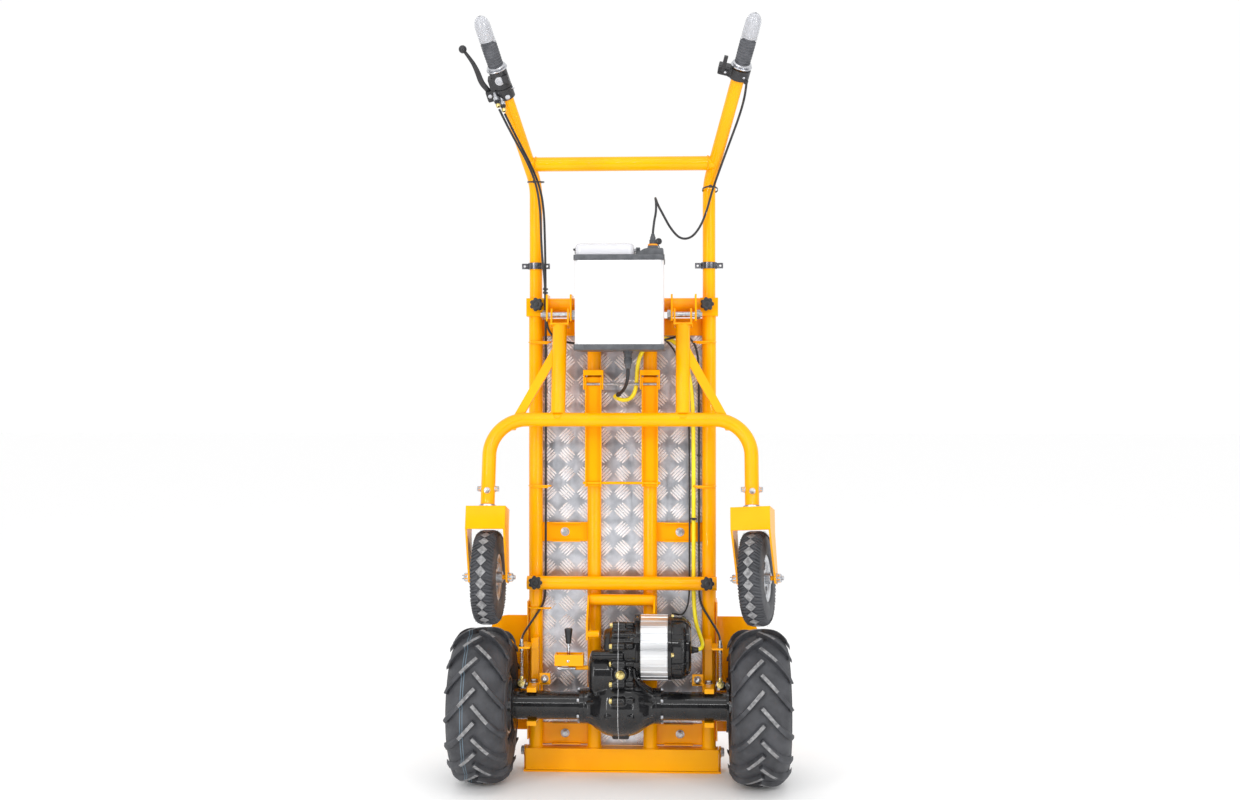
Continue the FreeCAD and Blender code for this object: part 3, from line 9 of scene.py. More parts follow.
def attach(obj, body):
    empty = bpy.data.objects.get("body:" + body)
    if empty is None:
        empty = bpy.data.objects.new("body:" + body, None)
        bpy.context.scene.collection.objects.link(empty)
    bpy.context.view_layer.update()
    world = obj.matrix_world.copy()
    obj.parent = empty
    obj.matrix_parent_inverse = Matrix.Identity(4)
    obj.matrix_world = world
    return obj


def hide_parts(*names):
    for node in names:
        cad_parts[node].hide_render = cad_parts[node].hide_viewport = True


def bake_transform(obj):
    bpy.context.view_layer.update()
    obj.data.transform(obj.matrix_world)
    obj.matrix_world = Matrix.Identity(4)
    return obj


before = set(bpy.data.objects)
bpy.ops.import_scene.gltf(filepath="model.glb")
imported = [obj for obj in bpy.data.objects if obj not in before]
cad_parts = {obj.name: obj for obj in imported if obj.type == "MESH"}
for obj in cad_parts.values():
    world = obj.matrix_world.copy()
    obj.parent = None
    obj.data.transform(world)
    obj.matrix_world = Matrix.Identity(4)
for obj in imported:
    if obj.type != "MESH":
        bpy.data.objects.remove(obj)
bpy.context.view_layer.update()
MM = 0.001
TAU = 2 * math.pi
SIDES = (("left", -1), ("right", 1))
EVEN = (1, 1, 1)
LOOKS = {}
scene = bpy.context.scene


# ---------------------------------------------------------------- camera, floor and light

def put(name, data, place, turn):
    """A new object in the scene."""
    made = bpy.data.objects.new(name, data)
    made.location = place
    made.rotation_euler = turn
    scene.collection.objects.link(made)
    return made


def facing(place, target, axis):
    """The turn that points an object's axis from its place to a target."""
    return (Vector(target) - Vector(place)).to_track_quat(axis, "Y").to_euler()


def lamp(name, place, target, size, power):
    """A rectangular soft light that looks at a point."""
    data = bpy.data.lights.new(name, "AREA")
    data.shape = "RECTANGLE"
    data.size, data.size_y = size
    data.energy = power
    put(name, data, place, facing(place, target, "-Z"))


def painted(name, colour, **sockets):
    """A new material with plain values on the shader's own sockets."""
    material = bpy.data.materials.new(name)
    material.use_nodes = True
    shader = material.node_tree.nodes["Principled BSDF"]
    shader.inputs["Base Color"].default_value = (*colour, 1)
    for socket, value in sockets.items():
        shader.inputs[socket.replace("_", " ")].default_value = value
    return material


def sheet(name, size, material, place=(0, 0, 0), turn=(0, 0, 0)):
    """A flat rectangle of the stage."""
    x, y = size[0] / 2, size[1] / 2
    mesh = bpy.data.meshes.new(name)
    mesh.from_pydata([(-x, -y, 0), (x, -y, 0), (x, y, 0), (-x, y, 0)], [], [(0, 1, 2, 3)])
    mesh.materials.append(material)
    made = put(name, mesh, place, turn)
    return made


def make_stage():
    """A level camera behind the machine, a little to its right; a plain pale floor under a white sky."""
    data = bpy.data.cameras.new("camera")
    data.lens = 39.02
    data.sensor_width = 36
    data.clip_end = 100
    scene.camera = put("camera", data, (0.125, -2.997, 0.822), (math.pi / 2, 0, math.radians(2.5)))
    pale = painted("floor", (0.985, 0.985, 0.985), Roughness=0.9, Specular_IOR_Level=0.1)
    sheet("floor", (60, 60), pale)
    world = bpy.data.worlds.new("studio")
    world.use_nodes = True
    sky = world.node_tree.nodes["Background"]
    sky.inputs["Color"].default_value = (1, 1, 1, 1)
    sky.inputs["Strength"].default_value = 1.01
    scene.world = world
    lamp("key", (-1.7, -3.0, 1.3), (0, 0, 0.75), (0.12, 2.6), 30)
    lamp("fill", (1.9, -2.8, 1.2), (0, 0, 0.75), (0.10, 2.6), 22)
    lamp("top", (0, -1.6, 3.4), (0, 0, 0.5), (2.2, 0.25), 9)
    lamp("low", (0.2, -3.3, 1.9), (0, 0, 0.3), (2.0, 0.12), 12)
    # Cards that the camera doesn't see give the metal something dark to mirror.
    for name, place, size in (("card_back", (0.1, -4.0, 1.0), (3.4, 2.4)),
                              ("card_left", (-3.6, -1.6, 0.9), (1.3, 3.0)),
                              ("card_right", (3.8, -1.2, 0.9), (1.5, 3.0))):
        card = sheet(name, size, painted(name, (0.03, 0.03, 0.035)), place, facing(place, (0, 0, 0.8), "Z"))
        card.visible_camera = False
        card.visible_shadow = False
        card.visible_diffuse = False
    scene.view_settings.view_transform = "Standard"
    scene.view_settings.look = "None"


make_stage()


# ---------------------------------------------------------------- materials

def add(material, kind, **values):
    """A new node in a material, with inputs and properties set by name."""
    made = material.node_tree.nodes.new(kind)
    for name, value in values.items():
        if hasattr(made, name):
            setattr(made, name, value)
        else:
            made.inputs[name.replace("_", " ")].default_value = value
    return made


def wire(material, source, target, output=0):
    """Joins an output of one node to an input socket."""
    material.node_tree.links.new(source.outputs[output], target)


def spots(material, scale, stretch=EVEN):
    """Noise over the object's own coordinates, in features per metre."""
    turn = add(material, "ShaderNodeMapping", Scale=stretch)
    wire(material, add(material, "ShaderNodeTexCoord"), turn.inputs["Vector"], "Object")
    cloud = add(material, "ShaderNodeTexNoise", Scale=scale, Detail=4.0)
    wire(material, turn, cloud.inputs["Vector"])
    return cloud


def tint(material, socket, scale, first, second, stretch=EVEN):
    """Uneven colour."""
    ramp = add(material, "ShaderNodeValToRGB")
    for stop, place, colour in zip(ramp.color_ramp.elements, (0.35, 0.65), (first, second)):
        stop.position = place
        stop.color = (*colour, 1)
    wire(material, spots(material, scale, stretch), ramp.inputs["Fac"])
    wire(material, ramp, socket)


def uneven(material, socket, scale, low, high, stretch=EVEN):
    """Uneven roughness."""
    span = add(material, "ShaderNodeMapRange", To_Min=low, To_Max=high)
    wire(material, spots(material, scale, stretch), span.inputs["Value"])
    wire(material, span, socket)


def finish(name, colour, shades=None, gloss=None, bumps=(), soften=0.0, **sockets):
    """A finish of the machine, kept by its name.

    Shades are (features per metre, first colour, second colour), gloss is (features per metre, lowest and
    highest roughness), and each layer of bumps is (features per metre, height in metres). Each may end with
    a stretch along X, Y and Z. Soften rounds the look of edges by a radius in metres.
    """
    material = painted(name, colour, **sockets)
    inputs = material.node_tree.nodes["Principled BSDF"].inputs
    if shades:
        tint(material, inputs["Base Color"], *shades)
    if gloss:
        uneven(material, inputs["Roughness"], *gloss)
    below = add(material, "ShaderNodeBevel", samples=4, Radius=soften) if soften else None
    for scale, height, *stretch in bumps:
        bump = add(material, "ShaderNodeBump", Strength=1.0, Distance=height)
        wire(material, spots(material, scale, *stretch), bump.inputs["Height"])
        if below:
            wire(material, below, bump.inputs["Normal"])
        below = bump
    if below:
        wire(material, below, inputs["Normal"])
    LOOKS[name] = material


def reckon(material, operation, *terms):
    """The output of a math node over numbers and other outputs."""
    made = add(material, "ShaderNodeMath", operation=operation)
    for socket, term in zip(made.inputs, terms):
        if isinstance(term, float):
            socket.default_value = term
        else:
            material.node_tree.links.new(term, socket)
    return made.outputs[0]


def tyre_lines(material):
    """Two thin blue-grey lines round the left drive tyre, left of its middle."""
    axes = add(material, "ShaderNodeSeparateXYZ")
    wire(material, add(material, "ShaderNodeTexCoord"), axes.inputs["Vector"], "Object")
    across, _, up = axes.outputs
    marks = [reckon(material, "COMPARE", across, place, 0.0007) for place in (-0.323, -0.318)]
    on_tyre = reckon(material, "LESS_THAN", up, 0.331)
    amount = reckon(material, "MULTIPLY", reckon(material, "MAXIMUM", *marks), on_tyre)
    mix = add(material, "ShaderNodeMix", data_type="RGBA")
    mix.inputs[7].default_value = (0.13, 0.19, 0.24, 1)
    links = material.node_tree.links
    base = material.node_tree.nodes["Principled BSDF"].inputs["Base Color"]
    links.new(amount, mix.inputs[0])
    links.new(base.links[0].from_socket, mix.inputs[6])
    links.new(mix.outputs[2], base)


def make_materials():
    """Every finish of the machine."""
    finish("yellow_paint", (1.0, 0.41, 0.0), (9, (0.99, 0.385, 0.0), (1.0, 0.435, 0.0)), (60, 0.24, 0.38),
           [(420, 3e-5), (60, 8e-5)], 0.0012, Coat_Weight=0.4, Coat_Roughness=0.04, Specular_IOR_Level=0.05)
    finish("tread_plate", (0.78, 0.79, 0.80), (34, (0.44, 0.46, 0.50), (0.72, 0.74, 0.79)),
           (160, 0.2, 0.5, (1, 1, 0.12)), [(500, 6e-5, (1, 1, 0.08)), (40, 6e-4)], Metallic=1.0)
    finish("tread_bar", (0.94, 0.94, 0.96), (120, (0.88, 0.89, 0.92), (0.98, 0.98, 1.0)), (300, 0.2, 0.4),
           [(900, 4e-5)], Metallic=0.45)
    finish("galvanised", (0.5, 0.51, 0.53), (160, (0.38, 0.39, 0.42), (0.64, 0.65, 0.67)), (240, 0.2, 0.42),
           [(700, 5e-5)], Metallic=1.0)
    finish("cast_black", (0.007, 0.007, 0.008), (40, (0.007, 0.007, 0.008), (0.015, 0.015, 0.016)),
           (90, 0.2, 0.38), [(900, 1.2e-4), (220, 2.5e-4)], 0.001, Coat_Weight=0.75, Coat_Roughness=0.05,
           Specular_IOR_Level=0.12)
    finish("yellow_zinc", (0.78, 0.60, 0.22), (190, (0.66, 0.52, 0.16), (0.88, 0.74, 0.36)), (300, 0.2, 0.4),
           [(800, 4e-5)], Metallic=1.0)
    finish("motor_band", (0.84, 0.85, 0.86), (60, (0.66, 0.67, 0.69), (0.84, 0.85, 0.86), (0.1, 1, 1)),
           (420, 0.28, 0.46, (0.04, 1, 1)), [(900, 4e-5, (0.04, 1, 1))], Metallic=1.0)
    finish("tyre_rubber", (0.04, 0.041, 0.047), (30, (0.034, 0.035, 0.040), (0.062, 0.064, 0.072)),
           (70, 0.45, 0.75), [(1300, 8e-5), (160, 2e-4)], Specular_IOR_Level=0.45)
    tyre_lines(LOOKS["tyre_rubber"])
    finish("worn_rubber", (0.22, 0.22, 0.225), (140, (0.15, 0.15, 0.155), (0.31, 0.31, 0.315)), None,
           [(900, 1.5e-4)], Roughness=0.75, Specular_IOR_Level=0.25)
    finish("rim_steel", (0.60, 0.61, 0.63), (50, (0.50, 0.51, 0.53), (0.70, 0.71, 0.73)), (200, 0.26, 0.44),
           [(600, 5e-5)], 0.0008, Metallic=1.0)
    finish("black_plastic", (0.018, 0.018, 0.020), (70, (0.014, 0.014, 0.016), (0.026, 0.026, 0.029)),
           (110, 0.28, 0.46), [(1500, 5e-5)], 0.0006)
    finish("black_cable", (0.014, 0.015, 0.018), (60, (0.010, 0.011, 0.014), (0.024, 0.025, 0.029)),
           (90, 0.3, 0.5), [(900, 6e-5)])
    finish("yellow_conduit", (0.95, 0.80, 0.01), (40, (0.90, 0.74, 0.006), (1.0, 0.86, 0.02)),
           (120, 0.28, 0.44), [(700, 6e-5)])
    finish("battery_aluminium", (0.82, 0.82, 0.84),
           (300, (0.78, 0.78, 0.80), (0.88, 0.88, 0.89), (1, 1, 0.02)), (500, 0.32, 0.5, (1, 1, 0.03)),
           [(1200, 3e-5, (1, 1, 0.02))], Metallic=0.4)
    finish("battery_plastic", (0.075, 0.08, 0.09), (70, (0.06, 0.064, 0.072), (0.10, 0.105, 0.116)),
           (120, 0.34, 0.52), [(1600, 7e-5)], 0.0008)
    finish("cell_wrap", (0.03, 0.12, 0.32), (60, (0.02, 0.10, 0.28), (0.05, 0.16, 0.38)), Roughness=0.35)
    finish("clear_plastic", (0.74, 0.75, 0.79), None, (60, 0.12, 0.2), [(300, 1e-5)], Coat_Weight=0.3,
           Coat_Roughness=0.05, Transmission_Weight=0.5, IOR=1.46)
    finish("frosted_plastic", (0.90, 0.90, 0.94), None, (40, 0.14, 0.28), [(200, 5e-5)], Coat_Weight=0.3,
           Coat_Roughness=0.05, Transmission_Weight=0.42, IOR=1.4)
    finish("grip_rubber", (0.085, 0.088, 0.098), (90, (0.07, 0.073, 0.082), (0.11, 0.113, 0.125)),
           (120, 0.5, 0.72), [(1500, 8e-5)], Specular_IOR_Level=0.4)
    finish("dark_steel", (0.16, 0.16, 0.17), (120, (0.10, 0.10, 0.11), (0.24, 0.24, 0.26)), (90, 0.18, 0.32),
           [(600, 4e-5)], Metallic=0.9)
    finish("machined_steel", (0.66, 0.67, 0.69), (120, (0.46, 0.47, 0.50), (0.66, 0.67, 0.70)),
           (300, 0.16, 0.34), [(900, 3e-5)], Metallic=1.0)
    finish("orange_seal", (1.0, 0.34, 0.004), (200, (0.96, 0.30, 0.003), (1.0, 0.40, 0.008)), Roughness=0.45)
    finish("grey_sealant", (0.45, 0.45, 0.46), (300, (0.30, 0.30, 0.31), (0.62, 0.62, 0.63)), Roughness=0.6)


make_materials()


# ---------------------------------------------------------------- shape helpers

ALONG_X = Matrix.Rotation(math.pi / 2, 4, "Y")
ALONG_BACK = Matrix.Rotation(math.pi / 2, 4, "X")
ALONG_FRONT = ALONG_BACK.inverted()


def at(x, y, z):
    """A point given in millimetres."""
    return Vector((x, y, z)) * MM


def move(x, y, z, turn=None):
    """The matrix of a place in millimetres, with a turn about it."""
    return Matrix.Translation(at(x, y, z)) @ (turn or Matrix())


def spun(steps, count, axis="Z"):
    """A turn by some steps of a circle of equal steps."""
    return Matrix.Rotation(TAU * steps / count, 4, axis)


def laid(place, direction):
    """The matrix that puts a shape made round +Z at a place, along a direction."""
    return Matrix.Translation(place) @ Vector(direction).to_track_quat("Z", "Y").to_matrix().to_4x4()


def polar(radius, angle, height=0.0):
    """A point round the Z axis."""
    return Vector((radius * math.cos(angle), radius * math.sin(angle), height))


def skin(bm, rings, closed=False):
    """Quads between rings of points. An open skin gets an end face on each end."""
    rows = [[bm.verts.new(point) for point in ring] for ring in rings]
    count = len(rows[0])
    pairs = list(zip(rows, rows[1:]))
    if closed:
        pairs.append((rows[-1], rows[0]))
    for a, b in pairs:
        for i in range(count):
            j = (i + 1) % count
            bm.faces.new((a[i], a[j], b[j], b[i]))
    if not closed:
        bm.faces.new(list(reversed(rows[0])))
        bm.faces.new(rows[-1])


def circle(matrix, radius, height, sides):
    """Points round the local Z axis, in millimetres."""
    return [matrix @ polar(radius * MM, TAU * i / sides, height * MM) for i in range(sides)]


def softened(outline, radius, steps=3):
    """A closed outline of straight sides with its corners rounded."""
    count = len(outline)
    made = []
    for i, point in enumerate(outline):
        here = Vector(point)
        before = Vector(outline[i - 1]) - here
        after = Vector(outline[(i + 1) % count]) - here
        reach = min(radius, before.length * 0.45, after.length * 0.45)
        a = here + before.normalized() * reach
        b = here + after.normalized() * reach
        for k in range(steps + 1):
            t = k / steps
            made.append(a * (1 - t) ** 2 + here * 2 * t * (1 - t) + b * t ** 2)
    return made


def turning(bm, matrix, outline, sides=48, closed=False):
    """A turned shape: its outline gives millimetres along the local Z axis and radius."""
    skin(bm, [circle(matrix, radius, along, sides) for along, radius in outline], closed)


def hollow(bm, matrix, outline, sides):
    """A turned ring with a hole through it."""
    turning(bm, matrix, outline, sides, True)


def bush(bm, matrix, inner, outer, low, high, edge, sides):
    """A hollow bar between two radii and two heights, with softened rims."""
    hollow(bm, matrix, [(low, inner), (low, outer - edge), (low + edge, outer), (high - edge, outer),
                        (high, outer - edge), (high, inner)], sides)


def disc(bm, matrix, radius, low, high, edge=0.8, sides=40):
    """A round bar or washer with softened rims, between two heights in millimetres."""
    edge = min(edge, radius * 0.4, abs(high - low) * 0.4)
    rim = ((0, edge), (edge * 0.3, edge * 0.3), (edge, 0))
    outline = [(low + rise, radius - inset) for rise, inset in rim]
    turning(bm, matrix, outline + [(high - rise, radius - inset) for rise, inset in rim[::-1]], sides)


def hexagon(bm, matrix, across, low, high):
    """A hexagonal head or nut with a chamfered crown, between two heights in millimetres."""
    corner = across / math.sqrt(3)
    skin(bm, [circle(matrix, corner * share, height, 6) for height, share in
              ((low, 0.99), (low + 0.2, 1), (high - across * 0.07, 1), (high, 0.9))])
    disc(bm, matrix, across * 0.44, high - 0.3, high + 0.25, 0.3, 24)


def bolt(bm, place, direction, across, height):
    """A bolt head on a washer, standing out along a direction."""
    matrix = laid(place, direction)
    disc(bm, matrix, across * 0.72, 0, 1.3, 0.3)
    hexagon(bm, matrix, across, 1.2, height)


def box(bm, low, high, edge=0.8, matrix=None):
    """A block with softened edges, between two corners in millimetres."""
    low, high = Vector(low), Vector(high)
    made = bmesh.ops.create_cube(bm, size=1)["verts"]
    middle, span = (low + high) / 2, high - low
    for vert in made:
        vert.co = Vector([m + c * s for m, c, s in zip(middle, vert.co, span)]) * MM
    rounded = bmesh.ops.bevel(bm, geom=list({e for v in made for e in v.link_edges}), segments=3,
        profile=0.7, offset=min(edge, min(span) * 0.4) * MM, affect="EDGES")
    if matrix:
        for vert in set(rounded["verts"]) | {v for v in made if v.is_valid}:
            vert.co = matrix @ vert.co


def studs(bm, matrix, count, low, high, edge, axis="Z", first=0.0):
    """Equal blocks round an axis."""
    for i in range(count):
        box(bm, low, high, edge, matrix @ spun(i + first, count, axis))


def line_frames(points):
    """A frame at each point of a line that doesn't spin about it."""
    frames = []
    side = None
    for i, point in enumerate(points):
        ahead = (points[min(i + 1, len(points) - 1)] - points[max(i - 1, 0)]).normalized()
        if side is None:
            side = ahead.orthogonal().normalized()
        side = (side - ahead * side.dot(ahead)).normalized()
        frames.append((point, side, ahead.cross(side)))
    return frames


def hose(bm, points, radius, sides=14, taper=0.0):
    """A round tube in metres along a line of points. Taper is what its radius loses by the end."""
    frames = line_frames(points)
    rings = []
    for i, (point, a, b) in enumerate(frames):
        r = radius - taper * (i / (len(frames) - 1))
        rings.append([point + (a * math.cos(TAU * k / sides) + b * math.sin(TAU * k / sides)) * r
                      for k in range(sides)])
    skin(bm, rings)


def smooth_line(points, density):
    """Points along the NURBS line whose control points are given in millimetres."""
    curve = bpy.data.curves.new("route", "CURVE")
    curve.dimensions = "3D"
    curve.resolution_u = density
    spline = curve.splines.new("NURBS")
    spline.points.add(len(points) - 1)
    for spot, point in zip(spline.points, points):
        spot.co = (*at(*point), 1)
    spline.order_u = 3
    spline.use_endpoint_u = True
    holder = bpy.data.objects.new("route", curve)
    mesh = bpy.data.meshes.new_from_object(holder)
    line = [vert.co.copy() for vert in mesh.vertices]
    bpy.data.objects.remove(holder)
    bpy.data.curves.remove(curve)
    bpy.data.meshes.remove(mesh)
    return line


def smooth_shading(mesh, crease):
    """Smooth faces that meet in sharp edges above an angle in degrees."""
    for face in mesh.polygons:
        face.use_smooth = True
    mesh.set_sharp_from_angle(angle=math.radians(crease))


def piece(name, bm, body, look, stands_for=(), crease=38, extra=()):
    """Turns a built shape into an object that rides on a body."""
    mesh = bpy.data.meshes.new(name)
    bmesh.ops.recalc_face_normals(bm, faces=bm.faces)
    bm.to_mesh(mesh)
    bm.free()
    smooth_shading(mesh, crease)
    for used in (look, *extra):
        mesh.materials.append(LOOKS[used])
    made = bpy.data.objects.new(name, mesh)
    scene.collection.objects.link(made)
    if body:
        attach(made, body)
    if stands_for:
        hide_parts(*stands_for)
    return made


# ---------------------------------------------------------------- finish of the CAD nodes

# A star stands for left and right.
CAD_LOOKS = {
    "yellow_paint": ["frame_rails", "upper_crossmember", "lower_crossmember", "gearbox_bracket",
                     "deck_brackets", "bottom_beam", "toe_plate", "fenders", "axle_mounts", "swing_posts",
                     "swing_bar", "stay", "caster_fork_*", "handle_tubes", "handle_crossbar",
                     "battery_cradle"],
    "galvanised": ["frame_bolts", "brake_arm_*", "hinge_pins"],
    "machined_steel": ["motor_rotor", "intermediate_gear", "ring_gear"],
    "cast_black": ["axle_tubes", "gearbox_*", "motor_end_cap"],
    "motor_band": ["motor_body"],
    "yellow_zinc": ["housing_fasteners"],
    "rim_steel": ["drive_rim_*", "caster_rim_*"],
    "tyre_rubber": ["drive_tyre_*", "caster_tyre_*"],
    "black_plastic": ["upper_knob_*", "lower_knob_*", "brake_lever_clamp", "brake_lever", "throttle_clamp",
                      "throttle_thumb", "freewheel_lever", "throttle_plug", "motor_controller"],
    "dark_steel": ["pipe_clamps"],
    "black_cable": ["brake_cables", "throttle_lead"],
    "yellow_conduit": ["motor_leads"],
    "battery_aluminium": ["battery_case"],
    "battery_plastic": ["battery_caps"],
    "cell_wrap": ["battery_cells"],
    "clear_plastic": ["battery_lid", "grip_end_caps"],
    "grip_rubber": ["handle_grips"],
    "tread_plate": ["deck_plate"],
}

for look, nodes in CAD_LOOKS.items():
    for name in sorted({starred.replace("*", word) for starred in nodes for word, _ in SIDES}):
        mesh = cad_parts[name].data
        mesh.materials.clear()
        mesh.materials.append(LOOKS[look])
        smooth_shading(mesh, 32)


# ---------------------------------------------------------------- battery

FLUTE_PITCH = 6.0
LID_HINGE_X, LID_HINGE_Z = 39.5, 1138
POST = move(70, -133, 0)


def rounded_loop(x0, x1, y0, y1, radius, z, parts=(12, 8), flute=0.0):
    """A rounded rectangle at a height, in millimetres. Flutes cut shallow waves into its sides."""
    corners = ((x1 - radius, y1 - radius), (x0 + radius, y1 - radius), (x0 + radius, y0 + radius),
               (x1 - radius, y0 + radius))
    loop = []
    for i, (cx, cy) in enumerate(corners):
        for k in range(7):
            loop.append((Vector((cx, cy, z)) + polar(radius, math.radians(90 * i + 15 * k))) * MM)
        outward = polar(1, math.radians(90 * i + 90))
        start = Vector((cx, cy, z)) + outward * radius
        end = Vector((*corners[(i + 1) % 4], z)) + outward * radius
        count = parts[i % 2]
        for k in range(1, count):
            walked = (end - start).length * k / count
            wave = flute * (0.5 - 0.5 * math.cos(TAU * walked / FLUTE_PITCH))
            loop.append((start.lerp(end, k / count) - outward * wave) * MM)
    return loop


def slab(bm, x0, x1, y0, y1, z0, z1, radius, edge=1.2):
    """A flat slab with rounded corners and softened rims."""
    rings = []
    for z, inset in ((z0, edge), (z0 + edge * 0.3, edge * 0.3), (z0 + edge, 0), (z1 - edge, 0),
                     (z1 - edge * 0.3, edge * 0.3), (z1, edge)):
        rings.append(rounded_loop(x0 + inset, x1 - inset, y0 + inset, y1 - inset, radius - inset * 0.5, z))
    skin(bm, rings)


def make_battery():
    """The fluted aluminium housing between its two end caps, and what stands on the upper one."""
    bm = bmesh.new()
    low, high, parts = 938.8, 1115.2, (160, 86)
    skin(bm, [rounded_loop(-93.6, 93.6, -188.6, -77.4, 13, z, parts, 0.55) for z in (low, high)]
         + [rounded_loop(-90, 90, -185, -81, 10, z, parts) for z in (high, low)], closed=True)
    piece("battery_housing", bm, "frame", "battery_aluminium", stands_for=["battery_case"], crease=50)

    bm = bmesh.new()
    for low, lip in ((1115, 1113.6), (927, 938)):
        slab(bm, -95, 95, -190, -76, low, low + 12, 14)
        slab(bm, -93, 93, -188, -78, lip, lip + 2.4, 13, 0.5)
        for x0, x1 in ((-95.6, -82), (82, 95.6)):
            for y0, y1 in ((-190.6, -178), (-88, -75.4)):
                slab(bm, x0, x1, y0, y1, low + 0.4, low + 11.6, 5.5, 0.8)
        for x in (-71, -74, 71, 74):
            box(bm, (x - 0.7, -190.5, low + 1.4), (x + 0.7, -189.5, low + 10.8), 0.3)
    block = softened([(34, 1126.6), (46, 1136), (52, 1139.6), (58, 1141), (91, 1141), (93, 1139),
                      (93.5, 1126.6)], 2, 2)
    skin(bm, [[at(p.x, y, p.y) for p in block] for y in (-178, -88)])
    hollow(bm, POST, [(1140, 9.4), (1140, 14.4), (1141.6, 14.6), (1142.4, 12.6), (1145.6, 12.4),
                      (1146.4, 11.4), (1149.4, 11.2), (1150, 10.6), (1150, 9.4)], 48)
    studs(bm, POST, 12, (11.6, -1.1, 1142.6), (13.4, 1.1, 1145.8), 0.4)
    for y in (-172, -100):
        box(bm, (35, y, 1126), (44, y + 6, 1143), 2)
    turning(bm, move(LID_HINGE_X, -172, LID_HINGE_Z, ALONG_FRONT),
            [(0, 1.8), (1, 2.0), (77, 2.0), (78, 1.8)], 16)
    under = move(17, -130, 0)
    turning(bm, under, [(889, 5), (890, 6.4), (898, 7.4), (899, 8), (905, 8), (906, 7.2), (913, 7.4),
                        (914, 8.8), (921, 9), (922, 10.6), (928, 11)], 40)
    studs(bm, under, 16, (7.6, -0.7, 899.6), (8.7, 0.7, 912), 0.25)
    piece("battery_end_caps", bm, "frame", "battery_plastic", stands_for=["battery_caps"])

    bm = bmesh.new()
    rings = []
    for inset, z, radius in ((9, 1148.2, 6), (3.5, 1147, 9), (2.6, 1144, 10), (2.6, 1128, 10),
            (2.6, 1127.4, 10), (0.4, 1127.4, 11), (0, 1128.4, 11), (0, 1144, 11), (0.7, 1147.4, 11),
            (2.8, 1149.6, 10), (8, 1151, 8), (26, 1151.8, 5)):
        rings.append(rounded_loop(-92 + inset, 31 - inset, -186 + inset, -80 - inset, radius, z))
    skin(bm, rings)
    for y in (-160, -122):
        bush(bm, move(LID_HINGE_X, y, LID_HINGE_Z, ALONG_FRONT), 2.3, 4.8, 0, 20, 0.6, 28)
        box(bm, (30, y, 1136), (37, y + 20, 1142), 1.5)
    piece("battery_lid_moulding", bm, "battery_lid", "frosted_plastic", ["battery_lid"])
    bm = bmesh.new()
    box(bm, (-96, -145, 1133), (-92.2, -121, 1146), 1.2)
    box(bm, (-99.6, -142, 1141), (-94, -124, 1144.6), 1.2)
    piece("battery_lid_latch", bm, "battery_lid", "black_plastic")


def make_plug():
    """The lead's plug: orange ring, ribbed grey nut, stepped body, bend relief and the dust cap's ring."""
    bm = bmesh.new()
    hollow(bm, POST, [(1144.2, 5), (1144.2, 8.7), (1150.2, 8.7), (1150.4, 10), (1151, 10.6), (1153.4, 10.6),
                      (1154, 10), (1154, 5)], 44)
    piece("socket_ring", bm, "frame", "orange_seal")
    bm = bmesh.new()
    turning(bm, POST, [(1145, 4.5), (1153, 5), (1154.2, 6.4), (1155, 6.9), (1163, 6.9), (1163.8, 6),
                       (1169, 5.8), (1170, 4.8), (1172, 4.6), (1172.4, 4.0), (1174.4, 3.9),
                       (1176.2, 3.3)], 40)
    studs(bm, POST, 14, (6.4, -0.8, 1155), (7.5, 0.8, 1163), 0.25)
    plug = piece("lead_plug", bm, "frame", "battery_plastic",
                 stands_for=["throttle_plug"])
    bm = bmesh.new()
    loop = move(82.5, -133, 1160, ALONG_BACK)
    skin(bm, [[loop @ spun(i, 28) @ (at(5.4, 0, 0) + polar(1.6, TAU * k / 10).xzy * MM) for k in range(10)]
              for i in range(28)], closed=True)
    turning(bm, move(83, -129.6, 1160, ALONG_BACK), [(0, 3.6), (0.6, 4), (4, 4), (4.6, 3.4)], 24)
    hose(bm, smooth_line([(80, -133, 1154), (83, -133, 1150), (84, -132, 1146), (80, -131, 1143.4)], 6),
         0.0011, 8)
    piece("dust_cap", bm, "frame", "black_plastic")
    return plug


make_battery()
PLUG = make_plug()


# ---------------------------------------------------------------- the throttle lead

THROTTLE_ROUTE = [(267, -180.6, 1491), (266, -163, 1468), (255, -132, 1428), (232, -92, 1370),
                  (212, -58, 1318), (198, -42, 1280), (187, -42, 1238), (173, -50, 1202),
                  (153, -63, 1175), (128, -78, 1171), (107, -92, 1193), (91, -101, 1222),
                  (80, -105, 1242), (76, -114, 1253), (75, -127, 1254), (77, -137, 1243),
                  (77, -140, 1221), (72, -135, 1199), (70, -133, 1176.6)]
LEAD_DIAMETER = 0.005


def make_throttle_lead():
    """The free lead from the thumb throttle to the battery's socket, on one smooth line."""
    line = smooth_line(THROTTLE_ROUTE, 12)
    bm = bmesh.new()
    hose(bm, line, LEAD_DIAMETER / 2)
    lead = piece("throttle_lead_smooth", bm, None, "black_cable", stands_for=["throttle_lead"])
    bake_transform(lead)
    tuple(line[0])


make_throttle_lead()


# ---------------------------------------------------------------- wheels

AXLE_Y, AXLE_Z = -110, 165
DRIVE_X = 296
DRIVE_TYRE = 156
DRIVE_LUGS = 15
CASTER_X = 279
CASTER_AXLE = (-23, 440)
CASTER_TYRE = 97.4
CASTER_BLOCKS = 26
HINGE_Y, HINGE_Z = -66, 1008
LEAN = (move(0, HINGE_Y, HINGE_Z, Matrix.Rotation(math.radians(-14), 4, "X"))
        @ move(0, -HINGE_Y, -HINGE_Z))


